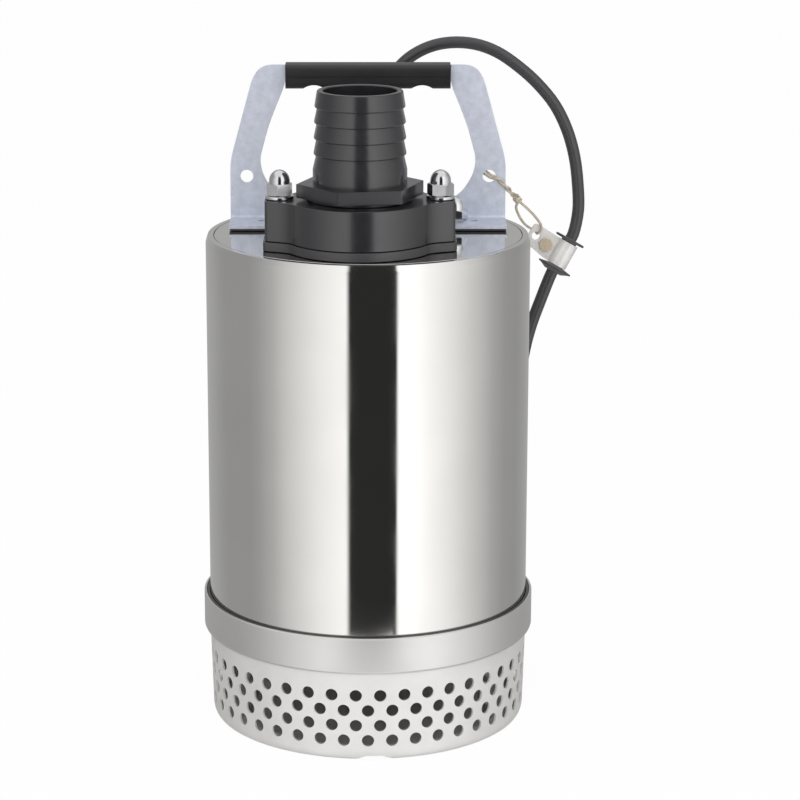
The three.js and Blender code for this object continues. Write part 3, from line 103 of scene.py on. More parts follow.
# %% The cable's centreline
CABLE_POINTS = [
    (8, 57, 285), (8, 57, 303), (8, 57, 321), (8.2, 57, 338), (10, 57, 354), (15.2, 56.5, 368),
    (23.8, 56, 377.4), (35.4, 55, 383.9), (47.9, 54.3, 386.6), (61.9, 53.5, 385.8), (74.7, 53, 381.3),
    (87.5, 52.6, 372.7), (98.7, 52.3, 362.7), (108.8, 52, 350.4), (116.1, 52, 335.8), (120.6, 52, 320.4),
    (122.8, 52, 304.6), (123.4, 51.8, 288.4), (120.7, 51.5, 274.2), (118.8, 51, 270.7), (114.3, 49.75, 262.7),
    (109.8, 48.5, 254.7), (107.9, 48, 251.2), (102.4, 47.5, 237), (96.4, 48, 219.6), (93, 49.5, 205),
    (90.6, 51, 188), (88.4, 53, 165), (87.3, 56, 135), (87, 60, 105), (86.8, 67, 73), (86, 76, 45),
    (84, 88, 24), (81.4, 102, 10), (77.8, 117, 4.4), (73.2, 133, 3.8), (68.2, 149, 3.8), (64.4, 165, 3.8),
    (63, 176, 3.8), (63, 183.7, 3.8),
]
TAIL_POINTS = [
    (-65.25, 0, 26.3), (-65.1, -8, 26.5), (-63.8, -17, 28.6), (-60, -27, 32.2), (-53.4, -36, 36.6),
    (-44.6, -42.4, 40.8), (-35.5, -45.4, 43.7), (-27, -45.8, 44.9), (-19, -45.8, 45.1),
]
COIL_AT = Vector((-6, 184, 0))
COIL_INNER, COIL_PITCH, COIL_LAYER, COIL_TURNS, COIL_LOW = 39, 7.5, 4, 15.5, 3.8
STEPS_A_TURN = 40


def coil_point(turn):
    """The coil's centreline: layers that spiral out and in by turns, and climb where the spiral reverses."""
    swing = abs((turn + COIL_LAYER) % (2 * COIL_LAYER) - COIL_LAYER)
    radius = COIL_INNER + COIL_PITCH * (COIL_LAYER - swing)
    rise = 0
    for at in range(COIL_LAYER, math.ceil(COIL_TURNS), COIL_LAYER):
        t = min(max(turn - at + 0.25, 0) / 0.5, 1)
        rise += t * t * (3 - 2 * t)
    angle = 2 * math.pi * turn
    height = COIL_LOW + COIL_PITCH * rise
    return COIL_AT + Vector((radius * math.cos(angle), radius * math.sin(angle), height))


turns = [coil_point(i / STEPS_A_TURN) for i in range(1, round(COIL_TURNS * STEPS_A_TURN))]
tail = smooth_line([COIL_AT + Vector(point) for point in TAIL_POINTS], 4)
cable_line = smooth_line(CABLE_POINTS, 4) + turns + tail
print("cable:", round(sum((b - a).length for a, b in zip(cable_line, cable_line[1:]))), "mm long")

# %% The cable's rubber
def wire(name, line, radius, sides):
    """A round wire along a line, as one open spline."""
    curve = bpy.data.curves.new(name, "CURVE")
    curve.dimensions = "3D"
    curve.bevel_depth = 1  # each point's own radius scales it, and the bounds count that radius
    curve.bevel_resolution = sides // 2 - 2
    curve.use_fill_caps = True
    spline = curve.splines.new("POLY")
    spline.points.add(len(line) - 1)
    for point, place in zip(spline.points, line):
        point.co = (*(place * MM), 1)
        point.radius = radius * MM
    piece = bpy.data.objects.new(name, curve)
    bpy.context.scene.collection.objects.link(piece)
    return piece


cable = wire("cable_rubber", cable_line, 3.5, 16)
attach(cable, "pump")
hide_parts("power_cable", "cable_coil")
PIECES[cable] = "rubber"

# %% [markdown]
# ## The tether
# A thin wire ties the clip to the handle, so that nobody lifts the pump by its cable alone. It is one
# length of wire, folded in two: both strands leave the handle's hole twisted together, and open into a loop
# that goes through the clip's eye. Where the loop starts, one strand winds twice round the other. Strands
# and winding are helices round a line, because a real twist shows its turns even at this size.

# %% The tether's centreline
HOLE_AT = Vector((70, 31, 312.5))
EYE_AT = Vector((99.3, 50.2, 274.9))
KNOT_AT = Vector((86.6, 36, 298))
WIRE = 0.75
KNOT_HALF, KNOT_TURNS, KNOT_STEPS, STRAND_TURNS = 1.7, 2, 36, 1.5


def wound(line, turns, radius, start=0.0):
    """A helix round a line of points."""
    last = len(line) - 1
    helix = []
    for i, place in enumerate(line):
        ahead = (line[min(i + 1, last)] - line[max(i - 1, 0)]).normalized()
        across = ahead.cross(Vector((0, 1, 0))).normalized()
        angle = start + 2 * math.pi * turns * i / last
        helix.append(place + (across * math.cos(angle) + across.cross(ahead) * math.sin(angle)) * radius)
    return helix


knot_axis = (EYE_AT - HOLE_AT).normalized()
knot = [KNOT_AT + knot_axis * KNOT_HALF * (1 - 2 * i / KNOT_STEPS) for i in range(KNOT_STEPS + 1)]
run = smooth_line([HOLE_AT + Vector(step) for step in (
    (0.9, -2.9, 0.2), (5, -3.3, -1.4), (10, -3.1, -6.2), (14.3, 1.8, -11.6))], 0.9)
loop = [EYE_AT + Vector(step) for step in (
    (-6.9, -10.6, 17.2), (-1.1, -6.8, 10.6), (2.2, -3.5, 4.8), (1.6, -2.8, 1.8), (0.1, -1.4, 0.2),
    (-0.1, 1.4, -0.1), (-1.5, 2.5, 1.3), (-4.9, 2, 3.3), (-8.3, -2, 6.9), (-11.2, -6.6, 12.1),
    (-13, -11, 18.2))]
tether_line = smooth_line([
    HOLE_AT + Vector((-3, 1.9, 3.4)), *wound(run, STRAND_TURNS, WIRE + 0.05),
    knot[-1], KNOT_AT, knot[0], *loop,
    *wound(knot, KNOT_TURNS, 2 * WIRE + 0.1, math.pi),
    *reversed(wound(run, STRAND_TURNS, WIRE + 0.05, math.pi)), HOLE_AT + Vector((-4, 1.9, 1.8)),
], 0.8)
tether = wire("tether_wire", tether_line, WIRE, 10)
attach(tether, "pump")
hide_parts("tether")
PIECES[tether] = "tether_wire"

# %% [markdown]
# ## Helpers for shaping, as by hand
# Most of the pump is turned, pressed or cut from plate. A turned piece starts as a small plane that is
# merged to one corner. The corner is extruded on to each next corner of the section, and the section is
# spun round an axis. A cut piece starts the same way, is filled to a face and extruded to its thickness.
# Holes are booleans, and sharp edges get a small bevel, because every real edge catches a line of light.

# %% Drawing a section
def just(piece):
    """Select one piece and nothing else, in object mode."""
    if bpy.context.mode != "OBJECT":
        bpy.ops.object.mode_set(mode="OBJECT")
    bpy.ops.object.select_all(action="DESELECT")
    piece.select_set(True)
    bpy.context.view_layer.objects.active = piece


def drawn(name, corners):
    """One corner, extruded on to each next one and back to the first; the piece is left in edit mode."""
    if bpy.context.mode != "OBJECT":
        bpy.ops.object.mode_set(mode="OBJECT")
    bpy.ops.object.select_all(action="DESELECT")
    places = [Vector(corner) * MM for corner in corners]
    bpy.ops.mesh.primitive_plane_add(size=MM, location=places[0])
    piece = bpy.context.object
    piece.name = piece.data.name = name
    bpy.ops.object.transform_apply(location=True, rotation=True, scale=True)
    bpy.ops.object.mode_set(mode="EDIT")
    bpy.ops.mesh.merge(type="CENTER")
    for here, there in zip(places, places[1:] + places[:1]):
        bpy.ops.mesh.extrude_region_move(TRANSFORM_OT_translate={"value": there - here})
    bpy.ops.mesh.select_all(action="SELECT")
    bpy.ops.mesh.remove_doubles(threshold=1e-6)
    return piece


def closed_up(piece):
    """Merge doubled corners, drop edges without a face and turn every face outwards."""
    bpy.ops.mesh.select_all(action="SELECT")
    bpy.ops.mesh.remove_doubles(threshold=1e-6)
    bpy.ops.mesh.delete_loose(use_verts=True, use_edges=True, use_faces=False)
    bpy.ops.mesh.select_all(action="SELECT")
    bpy.ops.mesh.normals_make_consistent(inside=False)
    bpy.ops.object.mode_set(mode="OBJECT")
    return piece


# %% Turning and cutting from plate
def arc(centre, radius, start, end, steps):
    """Points on an arc, in degrees, as pairs."""
    angles = [math.radians(start + (end - start) * i / steps) for i in range(steps + 1)]
    return [(centre[0] + radius * math.cos(a), centre[1] + radius * math.sin(a)) for a in angles]


def turned(name, section, steps=96, flat_ends=False):
    """Spin a section of (radius, height) pairs round Z; a flat end can become one face, without a pole."""
    piece = drawn(name, [(r, 0, z) for r, z in section])
    bpy.ops.mesh.spin(steps=steps, angle=2 * math.pi, center=(0, 0, 0), axis=(0, 0, 1))
    closed_up(piece)
    if flat_ends:
        bpy.ops.object.mode_set(mode="EDIT")
        bpy.ops.mesh.select_all(action="DESELECT")
        bpy.ops.object.mode_set(mode="OBJECT")
        for vertex in piece.data.vertices:
            vertex.select = vertex.co.xy.length < 1e-7
        bpy.ops.object.mode_set(mode="EDIT")
        bpy.ops.mesh.dissolve_verts()
        bpy.ops.object.mode_set(mode="OBJECT")
    return piece


def plate(name, outline, low, high):
    """Fill an outline of (x, y) pairs and extrude it from one height to another."""
    piece = drawn(name, [(x, y, low) for x, y in outline])
    bpy.ops.mesh.edge_face_add()
    bpy.ops.mesh.extrude_region_move(TRANSFORM_OT_translate={"value": (0, 0, (high - low) * MM)})
    return closed_up(piece)


def rod(name, radius, low, high, steps=48):
    """A plain round bar, which cuts a hole or joins a piece."""
    return turned(name, [(0, low), (radius, low), (radius, high), (0, high)], steps, flat_ends=True)


def hexagon(flats, turn=0):
    return arc((0, 0), flats / math.sqrt(3), turn, turn + 300, 5)


# %% Placing, joining and easing
ALONG_X = Matrix(((0, 0, 1), (1, 0, 0), (0, 1, 0))).to_4x4()  # a plate's x, y, z become y, z, x
UPRIGHT = Matrix(((1, 0, 0), (0, 0, -1), (0, 1, 0))).to_4x4()  # a plate's x, y, z become x, z, -y


def placed(piece, frame_matrix=None, at=(0, 0, 0)):
    """Turn and move a piece, and put that in its mesh."""
    just(piece)
    piece.matrix_world = Matrix.Translation(Vector(at) * MM) @ (frame_matrix or Matrix())
    bpy.ops.object.transform_apply(location=True, rotation=True, scale=True)
    return piece


def combined(piece, operation, tools):
    for tool in tools:
        just(piece)
        boolean = piece.modifiers.new("boolean", "BOOLEAN")
        boolean.operation = operation
        boolean.solver = "EXACT"
        boolean.object = tool
        bpy.ops.object.modifier_apply(modifier=boolean.name)
        bpy.data.meshes.remove(tool.data)
    return piece


def cut(piece, *tools):
    return combined(piece, "DIFFERENCE", tools)


def joined(piece, *tools):
    return combined(piece, "UNION", tools)


def kept_inside(piece, *tools):
    return combined(piece, "INTERSECT", tools)


def chamfered(piece, profile, steps=64):
    """Keep what lies inside a turned puck, as a lathe takes the corners off a hexagon."""
    return kept_inside(piece, turned("puck", profile, steps, flat_ends=True))


def eased(piece, width, segments=2, angle=30):
    """Round the edges that turn by more than an angle."""
    just(piece)
    bevel = piece.modifiers.new("bevel", "BEVEL")
    bevel.width = width * MM
    bevel.segments = segments
    bevel.limit_method = "ANGLE"
    bevel.angle_limit = math.radians(angle)
    bevel.use_clamp_overlap = True
    bpy.ops.object.modifier_apply(modifier=bevel.name)
    return piece


def copied(piece, name):
    """A copy with its own mesh."""
    twin = piece.copy()
    twin.data = piece.data.copy()
    twin.name = twin.data.name = name
    bpy.context.scene.collection.objects.link(twin)
    return twin


def hand_in(piece, slot, *nodes, smooth=30, finish=None):
    """Shade a finished piece, hang it on the pump's body, hide the CAD nodes it stands for and note its
    finish.
    """
    just(piece)
    bpy.ops.object.shade_smooth_by_angle(angle=math.radians(smooth))
    weighted = piece.modifiers.new("weighted", "WEIGHTED_NORMAL")
    weighted.keep_sharp = True
    bpy.ops.object.modifier_apply(modifier=weighted.name)
    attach(piece, "pump")
    if nodes:
        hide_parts(*nodes)
    PIECES[piece] = finish or slot
    print(f"{piece.name}: {len(piece.data.polygons)} faces")


# %% [markdown]
# ## The sleeve and its ring
# The sleeve is a rolled and welded tube of thin stainless steel, polished like a mirror. Its top edge leans
# in a little, then turns in flat round the deck, and the crisp edge between the two catches a thin line of
# light. A spun section gives it, with enough steps that its reflections run without a facet. Its foot
# stands in the base ring, and a thin black sealing strip shows between the two.

# %% The sleeve
SLEEVE_R, SLEEVE_WALL, SLEEVE_FOOT, DECK_TOP, RIM_LEAN = 92.5, 1.5, 68.3, 285, 1.3
lip = SLEEVE_R - RIM_LEAN
sleeve = turned("sleeve", [
    (SLEEVE_R, SLEEVE_FOOT), (SLEEVE_R, DECK_TOP - 4.5), (SLEEVE_R - 0.17, DECK_TOP - 3.6),
    (SLEEVE_R - 0.45, DECK_TOP - 2.6), (lip + 0.07, DECK_TOP - 0.15), (lip - 0.2, DECK_TOP), (88.2, DECK_TOP),
    (88, DECK_TOP - 0.2), (88, DECK_TOP - SLEEVE_WALL), (lip - SLEEVE_WALL, DECK_TOP - SLEEVE_WALL),
    (SLEEVE_R - SLEEVE_WALL - 0.4, DECK_TOP - 3.3), (SLEEVE_R - SLEEVE_WALL, DECK_TOP - 4.5),
    (SLEEVE_R - SLEEVE_WALL, SLEEVE_FOOT),
], 192)
hand_in(sleeve, "polished_steel", "outer_sleeve")

# %% The base ring and its sealing strip
RING_R, RING_LOW, RING_TOP, SEAT_LOW = 96, 52.8, 74, 68
ring = turned("base_ring_turned", [
    (RING_R - 1.4, RING_LOW), (RING_R - 0.3, RING_LOW + 1.1), (RING_R, RING_LOW + 1.8),
    (RING_R, RING_TOP - 0.5), (RING_R - 0.5, RING_TOP), (94.7, RING_TOP), (94.7, 72.3), (92.92, 72.3),
    (92.92, SEAT_LOW), (88, SEAT_LOW), (88, 60.8), (92.88, 60.8), (92.88, RING_LOW),
], 192)
hand_in(ring, "satin_steel", "base_ring", smooth=40)
strip = turned("sealing_strip", [
    (92.62, 72.4), (94.6, 72.4), (94.6, 73.6), (94.2, 74), (93.1, 74), (92.62, 73.6),
], 192)
hand_in(strip, "rubber", smooth=60)

# %% [markdown]
# ## The strainer
# The strainer is a pressed steel cup, punched with four staggered rows of round holes. One hole's cell is a
# grid with its middle deleted, a circle added inside, and the two loops bridged. An array makes the row,
# copies make the four rows, a bend rolls the sheet into a band, and the band's edges are extruded into the
# lap and the rounded bottom. It is modelled as one skin, and gets its thickness last, so that every hole
# has a clean wall.

# %% One hole in its cell
STRAINER_R, HOLES_ROUND, ROW_PITCH, HOLE_R, LOWEST_ROW = 92.4, 42, 9, 3.5, 12.2
CELL = 2 * math.pi * STRAINER_R / HOLES_ROUND
bpy.ops.object.select_all(action="DESELECT")
bpy.ops.mesh.primitive_grid_add(x_subdivisions=8, y_subdivisions=4, size=MM, rotation=(math.pi / 2, 0, 0))
strainer = bpy.context.object
strainer.name = strainer.data.name = "strainer_cup"
strainer.scale = (CELL, ROW_PITCH, 1)
bpy.ops.object.transform_apply(location=True, rotation=True, scale=True)
inner = [abs(v.co.x) < CELL / 2.1 * MM and abs(v.co.z) < ROW_PITCH / 2.1 * MM for v in strainer.data.vertices]
bpy.ops.object.mode_set(mode="EDIT")
bpy.ops.mesh.delete(type="ONLY_FACE")
bpy.ops.mesh.select_all(action="DESELECT")
bpy.ops.object.mode_set(mode="OBJECT")
for vertex, is_inner in zip(strainer.data.vertices, inner):
    vertex.select = is_inner
bpy.ops.object.mode_set(mode="EDIT")
bpy.ops.mesh.delete(type="VERT")
bpy.ops.mesh.primitive_circle_add(vertices=24, radius=HOLE_R * MM, rotation=(math.pi / 2, 0, 0))
bpy.ops.mesh.select_all(action="SELECT")
bpy.ops.mesh.bridge_edge_loops()
bpy.ops.object.mode_set(mode="OBJECT")
print("cell:", len(strainer.data.polygons), "faces")

# %% Four rows, rolled into a band
just(strainer)
row = strainer.modifiers.new("row", "ARRAY")
row.count = HOLES_ROUND
row.use_relative_offset = False
row.use_constant_offset = True
row.constant_offset_displace = (CELL * MM, 0, 0)
bpy.ops.object.modifier_apply(modifier=row.name)
bpy.ops.object.mode_set(mode="EDIT")
bpy.ops.mesh.select_all(action="SELECT")
bpy.ops.mesh.duplicate_move(TRANSFORM_OT_translate={"value": (CELL / 2 * MM, 0, ROW_PITCH * MM)})
bpy.ops.mesh.select_all(action="SELECT")
bpy.ops.mesh.duplicate_move(TRANSFORM_OT_translate={"value": (0, 0, 2 * ROW_PITCH * MM)})
bpy.ops.mesh.select_all(action="SELECT")
bpy.ops.mesh.remove_doubles(threshold=1e-5)
bpy.ops.object.mode_set(mode="OBJECT")
roll = strainer.modifiers.new("roll", "SIMPLE_DEFORM")
roll.deform_method = "BEND"
roll.deform_axis = "Z"
roll.angle = 2 * math.pi * (HOLES_ROUND + 0.5) / HOLES_ROUND
bpy.ops.object.modifier_apply(modifier=roll.name)
placed(strainer, at=(0, -STRAINER_R, LOWEST_ROW))
bpy.ops.object.mode_set(mode="EDIT")
bpy.ops.mesh.select_all(action="SELECT")
bpy.ops.mesh.remove_doubles(threshold=3e-5)
bpy.ops.mesh.normals_make_consistent(inside=False)
bpy.ops.object.mode_set(mode="OBJECT")
print("band:", [round(side / MM, 1) for side in strainer.dimensions], "mm")

# %% The lap above and the rounded bottom below
BAND_LOW, BAND_TOP, LAP_TOP = LOWEST_ROW - ROW_PITCH / 2, LOWEST_ROW + 3.5 * ROW_PITCH, 60.5
BAND_LOSS = 1.05  # the cup narrows by this much on the radius, down to the band's foot
DISH = 5


def loop_at(piece, height):
    """Select the open edge at a height, and nothing else."""
    bpy.ops.mesh.select_all(action="DESELECT")
    bpy.ops.object.mode_set(mode="OBJECT")
    for vertex in piece.data.vertices:
        vertex.select = abs(vertex.co.z / MM - height) < 0.01
    bpy.ops.object.mode_set(mode="EDIT")


def drawn_on(steps):
    """Extrude the selected ring on through (radius, height) pairs."""
    for (r0, z0), (r1, z1) in zip(steps, steps[1:]):
        bpy.ops.mesh.extrude_region_move(TRANSFORM_OT_translate={"value": (0, 0, (z1 - z0) * MM)})
        bpy.ops.transform.resize(value=(r1 / r0, r1 / r0, 1), center_override=(0, 0, 0))


placed(strainer, at=(0, 0, -BAND_TOP))
taper = strainer.modifiers.new("taper", "SIMPLE_DEFORM")
taper.deform_method = "TAPER"
taper.deform_axis = "Z"
taper.factor = BAND_LOSS / STRAINER_R
bpy.ops.object.modifier_apply(modifier=taper.name)
placed(strainer, at=(0, 0, BAND_TOP))
foot_r = STRAINER_R - BAND_LOSS
bpy.ops.object.mode_set(mode="EDIT")
bpy.ops.mesh.select_mode(type="VERT")
loop_at(strainer, BAND_TOP)
drawn_on([(STRAINER_R, BAND_TOP), (STRAINER_R, LAP_TOP)])
loop_at(strainer, BAND_LOW)
drawn_on([(foot_r, BAND_LOW), (foot_r - 0.05, 5.4), (foot_r - 0.3, 3.7), (foot_r - 0.85, 2.1),
          (foot_r - 1.7, 0.9), (foot_r - 2.8, 0.2), (foot_r - 3.9, 0), (85.9, 0), (85.1, 0.35),
          (83.4, DISH / 2), (81.6, DISH - 0.35), (80.8, DISH), (30, DISH)])
bpy.ops.mesh.edge_face_add()
bpy.ops.mesh.select_all(action="SELECT")
bpy.ops.mesh.normals_make_consistent(inside=False)
bpy.ops.object.mode_set(mode="OBJECT")
solid = strainer.modifiers.new("wall", "SOLIDIFY")
solid.thickness = 1.2 * MM
solid.offset = -1
solid.use_even_offset = True
bpy.ops.object.modifier_apply(modifier=solid.name)
print("cup:", [round(side / MM, 1) for side in strainer.dimensions], "mm")

# %% The weep slot, the screw holes and the punched edges
SCREW_CIRCLE, SCREW_HOLE_R, SCREWS_AT = 76.8, 3.4, (90, 210, 330)
weep = [(-7.2, -1), (14.9, -1), (14.9, 0), (8, 2.8), (-1.3, 2.8), (-7.2, 0)]
slot = placed(plate("slot", weep, 84, 100), UPRIGHT)
screw_holes = []
for angle in SCREWS_AT:
    x, y = (SCREW_CIRCLE * f(math.radians(angle)) for f in (math.cos, math.sin))
    screw_holes.append(placed(rod("hole", SCREW_HOLE_R, 1, 9, 24), at=(x, y, 0)))
cut(strainer, slot, *screw_holes)
eased(strainer, 0.22, 2, 55)
hand_in(strainer, "pressed_steel", "strainer")

# %% [markdown]
# ## The deck
# The deck is a thick polished disc inside the sleeve's rim. The outlet, the cable and four studs pass
# through it, and a short tube underneath leads the cable down to the dry chamber. It is turned, bored and
# eased.

# %% The deck
OUTLET = (-4.4, -43)
OUTLET_BORE = 20.5
GLAND = (8, 57)
STUDS = [(-48.9, -43), (40.1, -43), (-50, 20), (50, 20)]
STUD_HOLE_R, CABLE_HOLE_R = 4.4, 4
deck = turned("deck", [(0, 279), (90.7, 279), (90.7, 279.5), (87.7, 282.5), (87.7, 284.7), (87.4, DECK_TOP),
                       (0, DECK_TOP)], 192, flat_ends=True)
joined(deck, placed(rod("tube", 10.8, 240.3, 280), at=(*GLAND, 0)))
cut(deck, placed(rod("bore", OUTLET_BORE, 270, 290, 96), at=(*OUTLET, 0)),
    placed(rod("way", 7.8, 230, 290), at=(*GLAND, 0)),
    *(placed(rod("hole", STUD_HOLE_R, 270, 290, 32), at=(*stud, 0)) for stud in STUDS))
hand_in(deck, "polished_steel", "top_cover")

# %% [markdown]
# ## The discharge flange and its gasket
# A moulded black flange with two ears bolts the outlet to the deck, on a rubber gasket that stands a
# millimetre proud all round. Seen from above it is a round middle that flows into two square ears. The
# outline is drawn once, from arcs and a hollow curve at each ear, and serves both pieces.

# %% The flange's outline
EAR_X, EAR_Y, BULGE, JOIN_ANGLE, STUD_OUT = 52.6, 9.5, 41, 27, 44.5


def hollow(start, middle, end, steps=8):
    """A curve from start to end that is drawn towards a middle point."""
    line = []
    for i in range(steps + 1):
        t = i / steps
        line.append(tuple((1 - t) ** 2 * a + 2 * t * (1 - t) * b + t * t * c
                          for a, b, c in zip(start, middle, end)))
    return line


def flange_outline(proud, corner):
    """The whole outline, counter-clockwise, from the right-hand ear's lower corner."""
    x, y, r = EAR_X + proud, EAR_Y + proud, BULGE + proud
    join = (r * math.cos(math.radians(JOIN_ANGLE)), r * math.sin(math.radians(JOIN_ANGLE)))
    bend = hollow((r + 5, y + 2.4), (r - 2.5, y + 5.1), join)
    ear = [*hollow((x, y - corner), (x, y), (x - 0.94 * corner, y + 0.34 * corner), 5), *bend[:-1]]
    top = ear + arc((0, 0), r, JOIN_ANGLE, 90, 10)
    half = top + [(-u, v) for u, v in reversed(top[:-1])]
    return half + [(u, -v) for u, v in reversed(half)]


# %% Gasket and flange
def flange_plate(name, proud, corner, bore, low, high, edge):
    piece = plate(name, flange_outline(proud, corner), low, high)
    cut(piece, rod("bore", bore, low - 1, high + 1, 96),
        *(placed(rod("hole", STUD_HOLE_R, low - 1, high + 1, 32), at=(side * STUD_OUT, 0, 0))
          for side in (-1, 1)))
    eased(piece, edge, 3, 35)
    return placed(piece, at=(*OUTLET, 0))


gasket = flange_plate("gasket", 1, 2.2, OUTLET_BORE, 285.3, 290.3, 0.5)
hand_in(gasket, "rubber", "flange_gasket")
flange = flange_plate("flange", 0, 2, 24.8, 290.6, 312.8, 0.9)
hand_in(flange, "black_plastic", "discharge_flange")

# %% [markdown]
# ## The hose tail
# The hose is pushed over four barbs, each steep below and sloped above, so that it goes on easily and
# holds. The tail is moulded in black plastic, with a hexagon for the spanner on a round shoulder. Turning
# gives the barbs in one go, and the hexagon is a thick plate with eased edges, bored out and joined to the
# tail's wall.

# %% The hose tail
TAIL_FOOT, HEX_FOOT, HEX_TOP, TAIL_R, FIRST_BARB, BARB_PITCH = 313.1, 314.4, 322.1, 26.1, 337.1, 8.7
RIDGES = [25.6, 25.45, 25.25, 25]
BARB_DEEP = 1.35
barbs = []
for i, ridge in enumerate(RIDGES):
    z = FIRST_BARB + i * BARB_PITCH
    barbs += [(ridge - BARB_DEEP, z + 0.45), (ridge - 0.3, z + 0.8), (ridge, z + 1.2),
              (ridge - 0.05, z + 1.9)]
TAIL_END = FIRST_BARB + 3 * BARB_PITCH + 9.9
tail_piece = turned("hose_tail_barbed", [
    (OUTLET_BORE, TAIL_FOOT - 18), (24.2, TAIL_FOOT - 18), (24.5, TAIL_FOOT - 17.5), (24.5, TAIL_FOOT),
    (29.3, TAIL_FOOT), (29.5, TAIL_FOOT + 0.2), (29.5, HEX_FOOT + 0.2), (TAIL_R, HEX_FOOT + 0.2),
    (TAIL_R, FIRST_BARB - 7.5), *barbs, (23.8, TAIL_END - 0.9), (23.65, TAIL_END - 0.35), (23.3, TAIL_END),
    (OUTLET_BORE + 0.5, TAIL_END), (OUTLET_BORE, TAIL_END - 0.5),
], 128)
hexagon_collar = eased(plate("hexagon", hexagon(62, -20.2 - 90), HEX_FOOT, HEX_TOP), 0.45, 2, 25)
cut(hexagon_collar, rod("bore", 25, HEX_FOOT - 1, HEX_TOP + 1, 96))
joined(tail_piece, hexagon_collar)
placed(tail_piece, at=(*OUTLET, 0))
hand_in(tail_piece, "black_plastic", "hose_tail")

# %% [markdown]
# ## Dome nuts and washers
# M8 dome nuts hold the flange and the handle to studs in the deck. One nut is made, and copied to the four
# places. Its hexagon is chamfered by a turned puck, its dome is turned, and its bore is cut from below.

# %% One dome nut and one washer
NUT_FLATS, NUT_HEX, NUT_HIGH, DOME_R = 13, 6.5, 14, 5.75
nut = plate("nut", hexagon(NUT_FLATS), 0, NUT_HEX)
chamfered(nut, [(0, 0), (6.6, 0), (7.5, 0.6), (7.5, NUT_HEX - 0.6), (6.6, NUT_HEX), (0, NUT_HEX)])
dome_rise = NUT_HIGH - NUT_HEX
dome = [(DOME_R * math.cos(a), NUT_HEX + 1.4 + (dome_rise - 1.4) * math.sin(a))
        for a in (math.radians(90 * i / 10) for i in range(11))]
joined(nut, turned("dome", [(0, NUT_HEX - 1), (DOME_R, NUT_HEX - 1), *dome[:-1], (0, NUT_HIGH)], 64))
cut(nut, rod("bore", STUD_HOLE_R, -1, 8.6, 32))
eased(nut, 0.25, 2, 35)
ring_section = [(4.5, 0.2), (4.7, 0), (7.8, 0), (8, 0.2), (8, 1.4), (7.7, 1.7), (4.7, 1.7), (4.5, 1.5)]
washer = turned("washer", ring_section, 64)

# %% Copies on the four studs
NUT_PLACES = {"flange_left": (STUDS[0], 315.1), "flange_right": (STUDS[1], 315.1),
              "handle_left": (STUDS[2], 288.6), "handle_right": (STUDS[3], 288.6)}
for name, ((x, y), foot) in NUT_PLACES.items():
    quarter = Matrix.Rotation(math.radians(12 + x), 4, "Z")  # each nut is done up to its own angle
    hand_in(placed(copied(nut, f"{name}_nut"), quarter, (x, y, foot)), "bright_steel", f"{name}_dome_nut")
    if foot > 300:
        flat = placed(copied(washer, f"{name}_flat"), at=(x, y, foot - 2))
        hand_in(flat, "bright_steel", f"{name}_washer")
for pattern in (nut, washer):
    bpy.data.meshes.remove(pattern.data)

# %% [markdown]
# ## The handle
# The handle is one bent plate of galvanised steel: a foot under two nuts, a bend, and an upright with a
# window for the hand. The section through foot, bend and upright is extruded right across, then only what
# lies inside the front view's outline is kept, and the window and holes are cut. The foot stands on a thin
# black strip, 1.2 mm thick, with the rubber finish.

# %% The handle's outlines
HANDLE_HALF, HANDLE_TOP, PLATE_FRONT, PLATE_THICK, BEND_R = 79.5, 377, 29.5, 1.8, 1.5
FOOT_FRONT, FOOT_TOP, FOOT_STRIP_LOW, FOOT_STRIP_TOP = 3.5, 288.4, 285.3, 286.5
BEND = (PLATE_FRONT - BEND_R, FOOT_TOP + BEND_R)
GRIP_HALF, BAR_Z, BAR_HALF = 47.2, 371.5, 3.5
NECK = GRIP_HALF + 0.2
LIFT_HOLE_R, STUD_X, STUD_Y, PIN_HOLE_R, PIN_X = 3.75, 50, 20, 2.4, 60.8


def softened(corners, radius, steps=4):
    """An outline with rounded corners, as far as its sides allow; a corner may bring a radius of its own."""
    line = []
    for before, here, after in zip(corners[-1:] + corners[:-1], corners, corners[1:] + corners[:1]):
        p, q, r = (Vector(corner[:2]) for corner in (before, here, after))
        own = here[2] if len(here) > 2 else radius
        reach = min(own, 0.45 * (q - p).length, 0.45 * (r - q).length)
        line += hollow(q + (p - q).normalized() * reach, q, q + (r - q).normalized() * reach, steps)
    return [tuple(point) for point in line]


def both_sides(edge):
    return edge + [(-x, *rest) for x, *rest in reversed(edge)]


upright = both_sides([(79.5, 280), (79.5, 321.5), (68.5, 361.5), (66.2, 369.5), (62.3, 375), (57, HANDLE_TOP),
                      (NECK, HANDLE_TOP, 0.3), (NECK, BAR_Z + BAR_HALF, 0.3)])
window = both_sides([(NECK, BAR_Z - BAR_HALF, 0.3), (48.5, 363.5, 2), (57, 342.5), (62.5, 322), (60.6, 313),
                     (54, 302.5), (44, 297), (30, 296)])
LIFT_HOLES = [(-70, 312.5), (70, 312.5)]

